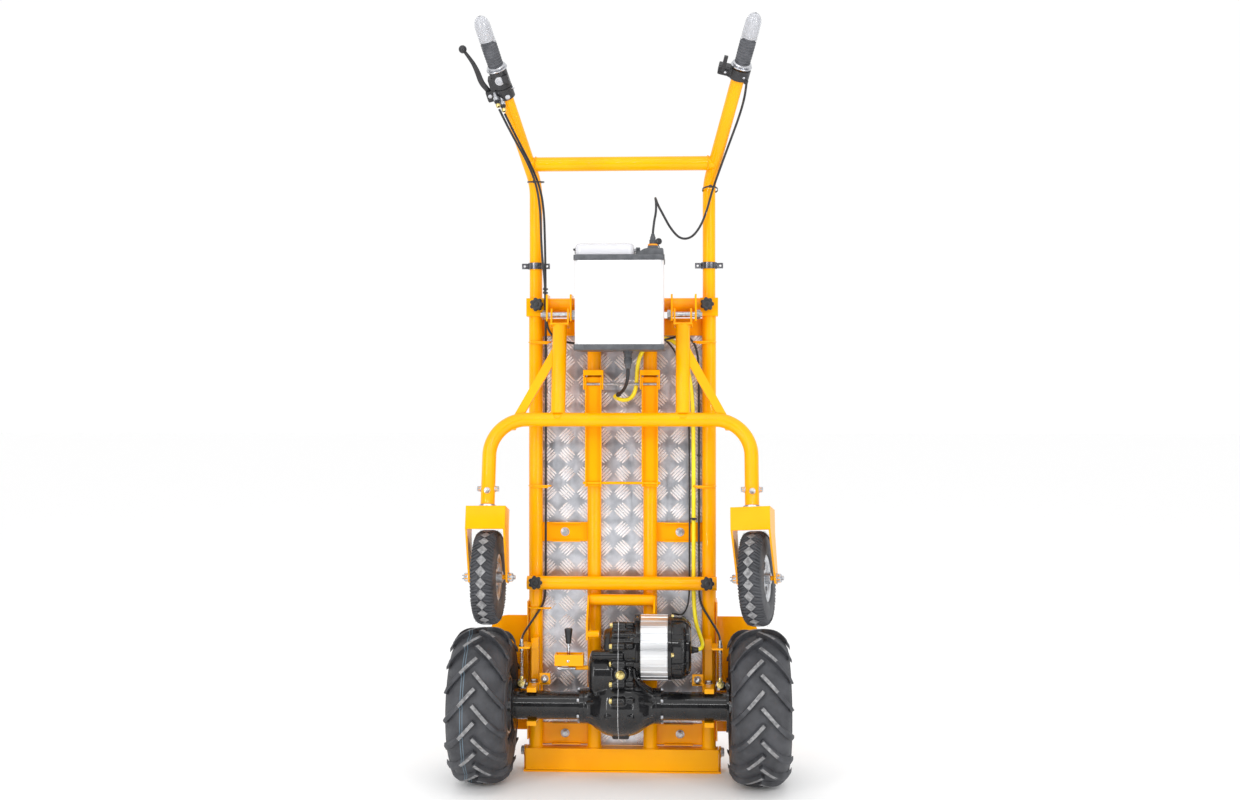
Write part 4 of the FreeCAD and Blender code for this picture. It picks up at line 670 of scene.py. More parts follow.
def raised_bar(bm, ground, start, end, half_foot, half_top, rise, sink, steps, worn=0.0, tip=1.0):
    """A bar on a curved ground between two (across, round) points.

    Its top is worn over a first share of its length, and its width shrinks to the tip's share.
    """
    start, end = Vector(start), Vector(end)
    along = (end - start).normalized()
    beside = Vector((-along.y, along.x))
    shares = [0, 0.02] + [i / steps for i in range(1, steps)] + [0.98, 1]
    rows = []
    for t in shares:
        middle = start.lerp(end, t)
        low = 1.0 if t in (0, 1) else 0.0
        wide = 1 + (tip - 1) * t
        half = [(half_foot * wide, -sink), (half_top * wide + 0.3, rise - 1.0 - low),
                (half_top * wide - 0.6, rise - low)]
        row = []
        for offset, lift in [(-across, up) for across, up in half] + half[::-1]:
            spot = middle + beside * offset
            row.append(bm.verts.new(ground(spot.x, spot.y, lift)))
        rows.append(row)
    count = len(rows[0])
    for t, a, b in zip(shares, rows, rows[1:]):
        for i in range(count):
            j = (i + 1) % count
            face = bm.faces.new((a[i], a[j], b[j], b[i]))
            face.material_index = 1 if (i == 2 and 0 < t < worn) else 0
    bm.faces.new(list(reversed(rows[0])))
    bm.faces.new(rows[-1])


def rolling_ground(radius, drop, half_width, matrix):
    """The crown of a tyre that turns about its local X axis, as a map from (across, round, lift)."""
    def ground(across, around, lift):
        r = radius - drop * abs(across / half_width) ** 4 + lift
        angle = around / radius
        return matrix @ at(across, -r * math.cos(angle), r * math.sin(angle))
    return ground


def mould_hairs(bm, ground, rng, count, reach, around_to, length):
    """Thin rubber hairs left by the mould's vents."""
    for _ in range(count):
        across = rng.choice((-1, 1)) * rng.uniform(*reach)
        around = rng.uniform(0, around_to)
        tall = rng.uniform(*length)
        lean = rng.uniform(-2.5, 2.5)
        hose(bm, [ground(across, around, -0.5), ground(across * 1.02, around + lean * 0.3, tall * 0.6),
                  ground(across * 1.05, around + lean, tall)], 0.0004, 4, 0.0002)


def tyre_body(bm, matrix, outer_half, inner_half, rounding, sides):
    """A hollow tyre from half of its section, given from the bead to the crown as (across, radius)."""
    outside = [(-x, r) for x, r in outer_half] + outer_half[::-1]
    inside = inner_half + [(-x, r) for x, r in inner_half[::-1]]
    hollow(bm, matrix @ ALONG_X, softened(outside + inside, rounding, 2), sides)


def make_drive_tyre(word, side):
    """A pneumatic tyre with two rows of slanted lugs, half a pitch apart."""
    hub = move(side * DRIVE_X, AXLE_Y, AXLE_Z)
    bm = bmesh.new()
    tyre_body(bm, hub, [(50, 76.2), (59, 80), (61, 90), (62, 112), (61, 124), (58, 134), (50, 144.5),
                        (40, 150.5), (26, 154.6), (10, DRIVE_TYRE)],
              [(45, 84), (52, 92), (54, 116), (44, 136), (30, 146)], 4, 144)
    for way in (-1, 1):
        for r, wide, proud in ((88, 1.6, 0.9), (96, 0.8, 0.6), (126, 1.2, 0.8)):
            x = way * 60.6
            hollow(bm, hub @ ALONG_X, [(x - way, r - wide), (x + way * proud, r - wide * 0.6),
                                       (x + way * proud, r + wide * 0.6), (x - way, r + wide)], 96)
    ground = rolling_ground(DRIVE_TYRE, 22, 62, hub)
    pitch = TAU * DRIVE_TYRE / DRIVE_LUGS
    for i in range(DRIVE_LUGS):
        for way in (-1, 1):
            around = pitch * (i + (0.5 if way > 0 else 0.0))
            raised_bar(bm, ground, (-3 * way, around), (57 * way, around - 64), 5.6, 4.3, 9.0, 2.5, 9,
                       0.5, 0.86)
            raised_bar(bm, ground, (56.5 * way, around - 63), (61.5 * way, around - 72), 4.6, 3.4, 7.0,
                       2.0, 3)
    mould_hairs(bm, ground, random.Random(11 + side), 60, (50, 59), TAU * DRIVE_TYRE, (5, 9))
    piece("drive_tyre_%s_tread" % word, bm, "drive_wheel_" + word, "tyre_rubber",
          stands_for=["drive_tyre_" + word], extra=("worn_rubber",))


def caster_place(side):
    """The frame of a caster fork: its swivel about the leg, then the lean of the swing frame."""
    swivel = Matrix.Rotation(math.radians(-2 if side < 0 else -14), 4, "Z")
    return LEAN @ move(side * CASTER_X, HINGE_Y, 0, swivel) @ move(-side * CASTER_X, -HINGE_Y, 0)


def make_caster_tyre(word, side, hub):
    """A small tyre with a row of diamonds touching tip to tip and slanted shoulder blocks."""
    bm = bmesh.new()
    tyre_body(bm, hub, [(21, 48.2), (24.5, 52), (25.4, 62), (25, 76), (23.4, 87), (19, 93.6), (11, 96.8),
                        (4, CASTER_TYRE)], [(17, 52), (21, 66), (19, 84), (12, 90)], 2, 112)
    ground = rolling_ground(CASTER_TYRE, 9.5, 25, hub)
    pitch = TAU * CASTER_TYRE / CASTER_BLOCKS
    for i in range(CASTER_BLOCKS):
        middle = pitch * i
        rows = []
        for grow, lift in ((1.0, -1.2), (0.99, 1.8), (0.93, 2.5)):
            rows.append([bm.verts.new(ground(11.6 * grow * u, middle + 12.4 * grow * v, lift))
                         for u, v in ((1, 0), (0, 1), (-1, 0), (0, -1))])
        for a, b in zip(rows, rows[1:]):
            for k in range(4):
                bm.faces.new((a[k], a[(k + 1) % 4], b[(k + 1) % 4], b[k]))
        bm.faces.new(list(reversed(rows[0])))
        bm.faces.new(rows[-1]).material_index = 1
        for way in (-1, 1):
            for shift, inner in ((0.5, 5.5), (0.86, 9.5), (0.14, 9.5)):
                around = middle + pitch * shift
                raised_bar(bm, ground, (inner * way, around), (23.5 * way, around - 7), 2.5, 1.9, 2.3,
                           1.2, 3)
    mould_hairs(bm, ground, random.Random(5 + side), 260, (17, 24), TAU * CASTER_TYRE, (3, 6.5))
    piece("caster_tyre_%s_tread" % word, bm, "caster_wheel_" + word, "tyre_rubber",
          stands_for=["caster_tyre_" + word], extra=("worn_rubber",))


def make_caster_rim(word, hub):
    """The dished wheel face with five windows, and its hub."""
    bm = bmesh.new()
    axle = hub @ ALONG_X
    hollow(bm, axle, [(-19, 42), (-18, 41), (18, 41), (19, 42), (21, 45), (21, 49), (18, 48.6), (16, 46),
                      (-16, 46), (-18, 48.6), (-21, 49), (-21, 45)], 72)
    bush(bm, axle, 5.3, 12, -30, 30, 1, 40)
    for way in (-1, 1):
        studs(bm, hub, 5, (way * 15 - 1.5, -5.5, 10), (way * 15 + 1.5, 5.5, 44), 1.2, "X", 0.5)
        hollow(bm, axle, [(way * 13.4, 36), (way * 16.6, 36.6), (way * 17.4, 43), (way * 13.4, 43)], 60)
        hollow(bm, axle, [(way * 13.4, 11), (way * 18, 11), (way * 17, 17), (way * 13.4, 18)], 60)
    piece("caster_rim_%s_face" % word, bm, "caster_wheel_" + word, "rim_steel",
          stands_for=["caster_rim_" + word])


for word, side in SIDES:
    make_drive_tyre(word, side)
    caster_hub = caster_place(side) @ move(side * CASTER_X, *CASTER_AXLE)
    make_caster_tyre(word, side, caster_hub)
    make_caster_rim(word, caster_hub)


# ---------------------------------------------------------------- tread plate

TREAD_PITCH = 41.5
TREAD_FOOT = 77
TREAD_BARS = 5


def make_tread():
    """Groups of five raised diagonal bars, each turned against its neighbours, over the deck's rear face."""
    bm = bmesh.new()
    for column in range(-4, 5):
        for row in range(22):
            tilt = math.radians(45 if (column + row) % 2 else -45)
            along = polar(1, tilt).xzy
            beside = Vector((-along.z, 0, along.x))
            group = Vector((column * TREAD_PITCH, -2.95, TREAD_FOOT + row * TREAD_PITCH))
            for k in range(TREAD_BARS):
                step = k - TREAD_BARS // 2
                middle = group + beside * step * 6.0
                reach = 17.5 - 1.6 * abs(step)
                rings = []
                for t, wide, tall in ((-1, 0.3, 0.1), (-0.72, 1.9, 1.1), (0, 2.4, 1.5), (0.72, 1.9, 1.1),
                                      (1, 0.3, 0.1)):
                    spot = middle + along * reach * t
                    rings.append([(spot + beside * wide * s + Vector((0, -tall * h, 0))) * MM
                                  for s, h in ((-1, 0), (-0.45, 1), (0.45, 1), (1, 0))])
                skin(bm, rings)
    piece("deck_tread_bars", bm, "frame", "tread_bar")


make_tread()


# ---------------------------------------------------------------- gearbox and motor

MOTOR_LEVEL = move(0, AXLE_Y, 291)
MOTOR = MOTOR_LEVEL @ ALONG_X
LOBE = move(0, AXLE_Y, 235, ALONG_X)
BULB = move(0, AXLE_Y, AXLE_Z, ALONG_X)
MOTOR_FLUTES = 26
SEAM_BOLTS = ((188, -171), (222, -166), (264, -159.7), (302, -163.9), (341, -132.9), (250, -54.5))


def rod_x(bm, x0, x1, y, z, radius, edge=1.5):
    """A round bar along X between two places in millimetres."""
    disc(bm, move(0, y, z, ALONG_X), radius, x0, x1, edge, 28)


def melted(bm):
    """A mesh of overlapping solids melted into one casting."""
    lump = bpy.data.meshes.new("lump")
    bm.to_mesh(lump)
    bm.free()
    holder = put("lump", lump, (0, 0, 0), (0, 0, 0))
    melt = holder.modifiers.new("melt", "REMESH")
    melt.mode = "VOXEL"
    melt.voxel_size = 0.0017
    soften = holder.modifiers.new("soften", "SMOOTH")
    soften.factor = 0.5
    soften.iterations = 7
    cast = bpy.data.meshes.new_from_object(holder.evaluated_get(bpy.context.evaluated_depsgraph_get()))
    bpy.data.objects.remove(holder)
    bpy.data.meshes.remove(lump)
    return cast


def make_gearbox():
    """The cast housing, melted together from its lobes, bosses and ribs, then split along its seam."""
    bm = bmesh.new()
    half = [(78, 36.5), (72, 37), (62, 41), (51, 49.5), (40, 57), (28, 62), (14, 64.4), (5, 65)]
    turning(bm, BULB, [(-x, r) for x, r in half] + half[::-1], 64)
    turning(bm, LOBE, [(-66, 36), (-64, 43), (-60, 47.5), (-54, 49.5), (18, 50.5), (28, 49), (33, 43)], 56)
    turning(bm, LOBE, [(-68.5, 26), (-67, 31), (-62, 32)], 40)
    turning(bm, MOTOR, [(-36, 30), (-33, 37), (-26, 40), (-21, 41), (-19, 46.5), (24, 48), (34, 52),
                        (40, 58), (43.5, 62)], 56)
    for low, high, edge in (((-46, -148, 160), (28, -66, 240), 14), ((-20, -144, 262), (32, -72, 336), 12),
                            ((-17, -132, 97), (19, -88, 122), 3)):
        box(bm, low, high, edge)
    for z, y in SEAM_BOLTS:
        rod_x(bm, -16, 12, y, z, 8.2)
        rod_x(bm, -14, 30, y + (6 if y < AXLE_Y else -6), z, 6.5)
    for boss in ((-60, 8, -152, 281, 10), (-24, 34, -158, 264, 6), (-17, 36, -146, 322, 7),
                 (-17, 30, -124, 338, 8), (-30, 30, -168, 155, 6.5, 5)):
        rod_x(bm, *boss)
    for x0, x1 in ((-79, -70), (70, 79)):
        turning(bm, BULB, [(x0, 36), (x0 + 0.5, 38.4), (x1 - 0.5, 38.4), (x1, 36)], 56)
    hose(bm, [at(30, -164, 256), at(33, -163, 236), at(44, -156, 219), at(58, -146, 209), at(70, -138, 200)],
         0.0034, 10)
    hose(bm, [at(-62, -146, 262), at(-62, -150, 236), at(-60, -146, 212), at(-52, -148, 196)], 0.003, 10)
    for angle in (-50, -20, 20, 50):
        turn = move(0, AXLE_Y, AXLE_Z, Matrix.Rotation(math.radians(angle), 4, "X"))
        for rib in (((24, -60), (44, -52), (70, -38)), ((-30, -58), (-46, -50), (-70, -38))):
            hose(bm, [turn @ at(x, y, 0) for x, y in rib], 0.0026, 8)
    turning(bm, move(2, -158, 243, ALONG_BACK), [(0, 17), (8, 16), (13, 13)], 32)
    cast = melted(bm)
    for name, low, high, look, nodes, grow in (
            ("gearbox_left_casting", None, -3.6, "cast_black", ["gearbox_left"], 0),
            ("gearbox_gasket", -3.6, -2.4, "grey_sealant", [], 0.0005),
            ("gearbox_right_casting", -2.4, None, "cast_black", ["gearbox_right"], 0)):
        part = bmesh.new()
        part.from_mesh(cast)
        for limit, way in ((low, -1), (high, 1)):
            if limit is None:
                continue
            cut = bmesh.ops.bisect_plane(part, geom=part.verts[:] + part.edges[:] + part.faces[:],
                                         plane_co=(limit * MM, 0, 0), plane_no=(way, 0, 0), clear_outer=True)
            rim = [item for item in cut["geom_cut"] if isinstance(item, bmesh.types.BMEdge)]
            bmesh.ops.holes_fill(part, edges=rim)
        if grow:
            part.normal_update()
            for vert in part.verts:
                vert.co += Vector((0, vert.co.y + 0.11, vert.co.z - 0.2)).normalized() * grow
        piece(name, part, "frame", look, stands_for=nodes, crease=50)
    bpy.data.meshes.remove(cast)


def ribbed_ring(x, radius, depth):
    """Points round the motor at one place along it, with narrow grooves between broad lands."""
    groove_and_land = ((0.0, 1), (0.18, 1), (0.26, 0), (0.6, 0), (0.93, 0))
    return [MOTOR @ (polar(radius - depth * sunk, TAU * (i + t) / MOTOR_FLUTES, x) * MM)
            for i in range(MOTOR_FLUTES) for t, sunk in groove_and_land]


def make_motor():
    """The ribbed aluminium band, its flange and the cast end cap with ribs and bolts."""
    bm = bmesh.new()
    skin(bm, [ribbed_ring(*place) for place in ((44.2, 61, 0), (44.2, 69.2, 1.6), (45, 70, 1.8),
        (101.2, 70, 1.8), (102, 69.2, 1.6), (102, 61, 0))], closed=True)
    piece("motor_band_ribbed", bm, "frame", "motor_band", stands_for=["motor_body"], crease=25)
    bm = bmesh.new()
    hollow(bm, MOTOR, [(34, 48), (34, 65), (35, 66.5), (38, 66.5), (38.6, 64.5), (40.4, 64.5), (41, 68),
                       (42, 69), (44, 69), (44, 48)], 96)
    studs(bm, MOTOR_LEVEL, 8, (30, -6, 58), (44, 6, 70), 2, "X", 0.5)
    piece("motor_flange", bm, "frame", "cast_black")
    bm = bmesh.new()
    hollow(bm, MOTOR, [(102.2, 60), (102.2, 69.4), (103, 70.2), (109, 70.2), (110, 69.2), (110.6, 66.4),
                       (134, 65.4), (137, 64), (147.5, 54), (150, 50), (151.6, 44), (151.6, 18), (149.5, 15),
                       (149.5, 9.5), (146, 9), (146, 60)], 120)
    for i in range(8):
        turn = MOTOR_LEVEL @ spun(i + 0.5, 8, "X")
        profile = [(109, 60), (109, 68.8), (132, 68.4), (137, 67.2), (149.4, 54.6), (151.6, 50), (151.6, 40)]
        rings = [[turn @ at(x, wide, r) for x, r in profile] for wide in (-2.6, -1.9, 1.9, 2.6)]
        for end, wide in ((0, -2.6), (3, 2.6)):
            rings[end] = [p.lerp(turn @ at(120, wide, 50), 0.03) for p in rings[end]]
        skin(bm, rings)
    studs(bm, MOTOR_LEVEL, 8, (113, -13, 60), (132, 13, 66.6), 1.6, "X")
    piece("motor_cap_cast", bm, "frame", "cast_black", stands_for=["motor_end_cap"])
    bm = bmesh.new()
    for i in range(4):
        turn = MOTOR_LEVEL @ Matrix.Rotation(TAU * i / 4 + 0.06, 4, "X")
        place = turn @ move(110, -67.2, 0, ALONG_X)
        hexagon(bm, place, 8, 0, 4.6)
        disc(bm, place, 5.4, -0.6, 0.5, 0.2)
    piece("motor_cap_bolts", bm, "frame", "yellow_zinc")


make_gearbox()
make_motor()


# ---------------------------------------------------------------- grips, brake lever and throttle

LEAN_START = Vector((192, -18.5, 1300))
LEAN_TIP = Vector((281, -275, 1604))
BRAKE_AT = 222
THROTTLE_AT = 262
ADJUSTERS = (((-243, -176, 1432), (-252, -170, 1472)), ((-254, -184, 1440), (-264, -176, 1474)))
BALL = 8.4


def grip_place(side, distance):
    """The frame of the leaning handle at a distance above its bend, with its +Z along the tube."""
    mirror = Vector((side, 1, 1))
    start, tip = LEAN_START * mirror, LEAN_TIP * mirror
    along = (tip - start).normalized()
    turn = Vector((0, 0, 1)).rotation_difference(along).to_matrix().to_4x4()
    return Matrix.Translation((start + along * distance) * MM) @ turn


def make_grips():
    """Ribbed rubber sleeves on steel cores, their chromed double flanges and the clear domed hand guards."""
    high = (LEAN_TIP - LEAN_START).length - 54
    low = high - 66
    pitch = 6.2
    ribs = int((high + 12 - low - 13) / pitch)
    rubber, chrome, clear, core = bmesh.new(), bmesh.new(), bmesh.new(), bmesh.new()
    for side in (-1, 1):
        place = grip_place(side, 0)
        outline = [(low + 9, 14.1), (low + 9, 15.6), (low + 10, 16.6), (low + 11.5, 16.6)]
        for i in range(ribs):
            z = low + 12 + pitch * i
            top = 16.4 + 0.4 * math.sin(math.pi * i / ribs) if z < high - 8 else 15.7
            outline += [(z, top - 1.5), (z + 1.5, top - 1.5), (z + 2.4, top), (z + 4.4, top),
                        (z + 5.4, top - 1.5)]
        end = low + 13 + pitch * ribs
        hollow(rubber, place, outline + [(end, 14.2), (end, 14.1)], 56)
        flanges = [(-0.4, 14.1), (-0.4, 20.6), (0.4, 22), (1.8, 22.4), (3, 21.4), (3.6, 18.6), (4.6, 17.6),
                   (5.4, 18.6), (6, 19.8), (7.2, 20), (8.2, 18.8), (9, 17), (9.8, 15.4), (9.8, 14.1)]
        hollow(chrome, place, [(low + z, r) for z, r in flanges], 64)
        angles = [TAU * k / 48 for k in range(48)]
        rings = []
        for z, r, arch in ((-3, 14.9, 1), (-3, 16.4, 1), (1, 16.7, 0.8), (8, 16.7, 0.5), (20, 16.6, 0.1),
                (34, 16.3, 0), (42, 14.4, 0), (48, 11, 0), (52, 6.4, 0), (53.6, 2.4, 0), (51, 2.2, 0),
                (49.6, 5.6, 0), (46, 9.6, 0), (40, 12.9, 0), (33, 14.8, 0), (20, 15, 0.1), (8, 15, 0.5)):
            rings.append([place @ (polar(r, a, high + z + (4 - 9 * max(0.0, math.cos(2 * a))) * arch) * MM)
                          for a in angles])
        skin(clear, rings, closed=True)
        turning(core, place, [(high - 4, 13.2), (high + 26, 13.2), (high + 36, 12), (high + 42, 8.5),
                              (high + 44, 3)], 40)
    piece("grip_sleeves", rubber, "handle", "grip_rubber", stands_for=["handle_grips"], crease=30)
    piece("grip_flanges", chrome, "handle", "machined_steel")
    piece("grip_guards", clear, "handle", "clear_plastic", stands_for=["grip_end_caps"], crease=60)
    piece("grip_cores", core, "handle", "galvanised")


def make_brake_lever():
    """The curved flat blade with its ball end, the perch and the clamp's bolts, and the cable adjusters."""
    place = grip_place(-1, BRAKE_AT)
    bm = bmesh.new()
    line = smooth_line([(-30, 0, 12), (-33, 0, 26), (-41, 0, 44), (-41, 0, 72), (-45, 0, 98),
                        (-55, 0, 126)], 10)
    across = Vector((0, 1, 0))
    last = len(line) - 1
    rings = []
    for i, point in enumerate(line):
        t = i / last
        flat = (line[min(i + 1, last)] - line[max(i - 1, 0)]).normalized().cross(across)
        wide = (3.6 - 0.8 * t) * MM
        thick = (5.2 - 2.2 * t + 1.9 * math.sin(math.pi * t)) * MM
        ring = []
        for k in range(16):
            u, v, _ = polar(1, TAU * k / 16)
            ring.append(place @ (point + across * wide * math.copysign(abs(u) ** 0.7, u) + flat * thick * v))
        rings.append(ring)
    skin(bm, rings)
    turning(bm, place @ move(-55, 0, 126), [(BALL * math.sin(math.radians(a)),
                                             max(0.05, BALL * math.cos(math.radians(a))))
                                            for a in range(-90, 91, 15)], 28)
    bush(bm, place @ move(-30, 3.9, 16, ALONG_BACK), 3.2, 7.2, 0, 7.8, 0.8, 32)
    piece("brake_lever_blade", bm, "brake_lever", "black_plastic", stands_for=["brake_lever"])

    bm = bmesh.new()
    rear = place @ move(-30, -11.4, 16, ALONG_BACK)
    hexagon(bm, rear, 9, 0, 3.4)
    disc(bm, rear, 5.8, -0.4, 0.6, 0.2)
    clamp = place @ move(6, -18.4, 8, ALONG_BACK)
    disc(bm, clamp, 5.4, 0, 3.6, 0.8)
    box(bm, (-2.6, -0.5, 3.2), (2.6, 0.5, 4.0), 0.2, clamp)
    disc(bm, place @ move(18.6, -4, 18, ALONG_X), 3.4, 0, 4.2, 0.7)
    turning(bm, place @ move(0, -17.6, 46, ALONG_BACK),
            [(-1, 9.4), (1.4, 9.8), (2.4, 9), (2.6, 6.4), (1.8, 5.8), (1.8, 0.05)], 36)
    ends = bmesh.new()
    for foot, tip in ADJUSTERS:
        barrel = laid(at(*foot), at(*tip) - at(*foot))
        hollow(bm, barrel, [(11, 2.6), (11, 5), (11.6, 5.6), (20, 5.6), (20.6, 5), (21, 4.6), (31, 4.6),
                            (31, 2.6)], 24)
        studs(bm, barrel, 10, (5.2, -0.6, 12), (6.1, 0.6, 20), 0.2)
        hollow(ends, barrel, [(-2, 2.7), (-2, 4), (-1, 4.8), (4, 4.9), (5, 4.2), (11.4, 4.2),
                            (11.4, 2.7)], 24)
    piece("brake_lever_metalwork", bm, "handle", "machined_steel")
    bm = bmesh.new()
    hollow(bm, place, [(24.2, 14.3), (24.2, 18), (25.4, 19), (62, 19), (63.6, 18), (63.6, 14.3)], 56)
    box(bm, (-25, -14, 26), (-4, 8, 52), 3, place)
    box(bm, (6, -22, 38), (20, -12, 56), 2, place)
    box(bm, (-36.8, -12.4, 2), (-16, -10.6, 26), 0.8, place)
    piece("brake_lever_collar", bm, "handle", "black_plastic")
    piece("brake_adjuster_ends", ends, "handle", "yellow_zinc")


def make_throttle():
    """The collar, ribs, switches and screws of the thumb throttle's housing."""
    place = grip_place(1, THROTTLE_AT)
    bm = bmesh.new()
    bush(bm, place, 14.3, 21.8, -0.6, 21.6, 1.2, 64)
    for i in range(5):
        z = 4 + 3.4 * i
        box(bm, (-44.8, -13.6, z), (-20, 13.6, z + 1.7), 0.6, place)
    for i in range(4):
        y = -10 + 6.6 * i
        box(bm, (-45.4, y, 3), (-43.6, y + 3.2, 19.4), 0.6, place)
    box(bm, (-43, -12.4, 2.6), (-19, -6.2, 19.6), 1.8, place)
    box(bm, (-43, 1, 2.6), (-19, 12.6, 19.6), 1.8, place)
    disc(bm, place @ move(17, -13, -4), 4.6, 0, 8, 1.2)
    piece("throttle_housing_ribs", bm, "handle", "black_plastic")
    bm = bmesh.new()
    disc(bm, place @ move(-30, -12.9, 11, ALONG_BACK), 3.4, -0.6, 1.6, 0.5)
    disc(bm, place @ move(10, -19.6, 11, ALONG_BACK), 2.6, 0, 1.6, 0.5)
    piece("throttle_screws", bm, "handle", "machined_steel")


make_grips()
make_brake_lever()
make_throttle()


# ---------------------------------------------------------------- brake cables, conduit and ties

LEFT_CABLE = [(-241.6, -172.6, 1426), (-226, -140, 1392), (-190, -66, 1322), (-173, -36, 1262),
              (-170, -33, 1150), (-168.2, -44.2, 1076), (-168.2, -43.4, 1010), (-169.5, -27, 970),
              (-169.6, -24.5, 920), (-169.6, -24.5, 640), (-169.6, -24.5, 420), (-171, -30, 374),
              (-196, -45, 338), (-214, -78, 312), (-214, -106, 300), (-214, -106, 290)]
RIGHT_CABLE = [(-252.4, -180.6, 1434), (-235, -154, 1396), (-196, -78, 1326), (-179.5, -50, 1262),
               (-177, -47, 1150), (-168.2, -51, 1076), (-168.2, -50, 992), (-152, -44, 958),
               (-112, -54, 946), (-60, -60, 944), (60, -60, 944), (104, -54, 956), (140, -34, 968),
               (166, -25, 940), (169.6, -24.5, 880), (169.6, -24.5, 640), (169.6, -24.5, 420),
               (171, -30, 374), (196, -45, 338), (214, -78, 312), (214, -106, 300), (214, -106, 290)]
CONDUIT = [(17, -130, 888.8), (17, -130, 866), (8, -110, 844), (-6, -86, 833), (-15, -64, 830),
           (-11, -47, 826), (3, -41.5, 821), (18, -41, 824), (29, -41, 838), (33, -42, 862),
           (34, -44, 896), (42, -46, 926), (62, -47, 948), (96, -46, 960), (124, -36, 946),
           (142, -29, 904), (155, -27.5, 840), (158, -27.5, 740), (158, -27.5, 440), (158, -28, 380),
           (162, -40, 334), (172, -66, 308), (178, -90, 292), (170, -100, 284), (152.8, -100, 284)]
SIGNAL_LEAD = [(60, -38, 968), (90, -36, 960), (116, -29, 934), (136, -24.5, 880), (147, -23.5, 810),
               (149, -23.5, 700), (149, -23.5, 430), (148, -27, 380), (140, -38, 356), (128, -50, 350),
               (118, -62, 356), (112, -74, 358)]
BRAKE_X = 214
SPRING_TURNS = 15
SPRING_LENGTH = 53.2


def make_brake_cables():
    """The two sheathed cables and their springs."""
    for name, points, nodes in (("left_brake_cable", LEFT_CABLE, ["brake_cables"]),
                                ("right_brake_cable", RIGHT_CABLE, [])):
        bm = bmesh.new()
        hose(bm, smooth_line(points, 10), 0.0025)
        cable = piece(name, bm, None, "black_cable", stands_for=nodes)
        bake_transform(cable)
    steel = bmesh.new()
    for word, side in SIDES:
        x = side * BRAKE_X
        post = move(x, -106, 0)
        hollow(steel, post, [(279, 2.0), (279, 3.4), (280, 3.9), (285.6, 3.9), (290.2, 4.6), (291, 5.4),
                             (294, 5.4), (295, 4.2), (303, 3.6), (306, 3.2), (306, 2.0)], 28)
        wires = bmesh.new()
        steps = SPRING_TURNS * 14
        down = laid(at(x, -106, 280), (0, 0, -1))
        coil = [down @ (polar(3.7, TAU * SPRING_TURNS * i / steps, SPRING_LENGTH * i / steps) * MM)
                for i in range(steps + 1)]
        hose(wires, coil, 0.00075, 8)
        hose(wires, [at(x, -106, 281 - 3.4 * i) for i in range(18)], 0.0009, 8)
        spring = piece("brake_spring_" + word, wires, None, "galvanised")
        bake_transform(spring)
        knuckle = bmesh.new()
        hollow(knuckle, post, [(218, 1.6), (218, 4.6), (219, 5.2), (224, 5.2), (226, 4.4), (226, 1.6)], 24)
        rear = laid(at(x, -112, 212), (0, -1, 0))
        disc(knuckle, rear, 7.6, -2, 3.6, 0.8)
        hexagon(knuckle, rear, 9, 3.4, 8)
        piece("brake_knuckle_" + word, knuckle, "brake_arm_" + word, "yellow_zinc")
        sleeve = bmesh.new()
        hollow(sleeve, move(0, -70, 200, ALONG_X), [(side * along, r) for along, r in (
            (214.4, 5.1), (214.4, 8.4), (216, 9), (224.5, 9), (225.4, 8.2), (225.4, 5.1))], 32)
        piece("brake_shaft_boot_" + word, sleeve, "brake_arm_" + word, "black_plastic")
    piece("brake_cable_ends", steel, "frame", "galvanised")


def make_leads():
    """The conduit from the battery plug to the motor, black near the plug, and the thin lead beside it."""
    line = smooth_line(CONDUIT, 10)
    change = min(range(len(line)), key=lambda i: (line[i] - at(-6, -84, 833)).length)
    bm = bmesh.new()
    hose(bm, line[change:], 0.0045, 18)
    piece("motor_conduit", bm, "frame", "yellow_conduit", stands_for=["motor_leads"])
    bm = bmesh.new()
    hose(bm, line[:change + 3], 0.0037, 16)
    disc(bm, laid(line[change], line[change + 1] - line[change]), 5.2, -7, 1.5, 1.2)
    hollow(bm, laid(line[-1], line[-2] - line[-1]),
           [(-2, 4.7), (-2, 7.4), (0, 8), (4, 8), (5, 6.6), (14, 5.6), (15, 4.7)], 28)
    piece("battery_lead_end", bm, "frame", "black_cable")
    bm = bmesh.new()
    hose(bm, smooth_line(SIGNAL_LEAD, 8), 0.002, 10)
    piece("signal_lead", bm, "frame", "black_cable")


def band(bm, centre, across, deep, tilt=0.0, wide=3.4, thick=1.2):
    """A cable tie: a flat strap round an oval, with its lock."""
    place = move(*centre, Matrix.Rotation(math.radians(tilt), 4, "X"))
    rings = []
    for i in range(40):
        out = polar(1, TAU * i / 40)
        rings.append([place @ ((Vector((across * out.x, deep * out.y, v)) + out * u) * MM)
                      for u, v in ((0, -wide / 2), (thick, -wide / 2), (thick, wide / 2), (0, wide / 2))])
    skin(bm, rings, closed=True)
    box(bm, (-3.2, -deep - thick - 3.4, -2.8), (3.2, -deep + 0.6, 2.8), 0.6, place)


def make_ties():
    """Cable ties: two on the handle, and on the frame two near the left knob and three on the right."""
    on_handle = (((194, -29.6, 1285), 16.4, 28.4, -6), ((-190.6, -35, 1304), 17.4, 33, 8))
    on_frame = (((-168.2, -47, 1058), 4.4, 8), ((-168.2, -47.5, 1066), 4.4, 7.6), ((158, -27.5, 790), 6, 6),
                ((158, -27.5, 560), 6, 6), ((169.6, -24.5, 700), 4, 4))
    for body, ties in (("handle", on_handle), ("frame", on_frame)):
        bm = bmesh.new()
        for tie in ties:
            band(bm, *tie)
        piece(body + "_ties", bm, body, "black_plastic")


make_brake_cables()
make_leads()
make_ties()


# ---------------------------------------------------------------- knobs, levers, bolts, hooks and welds

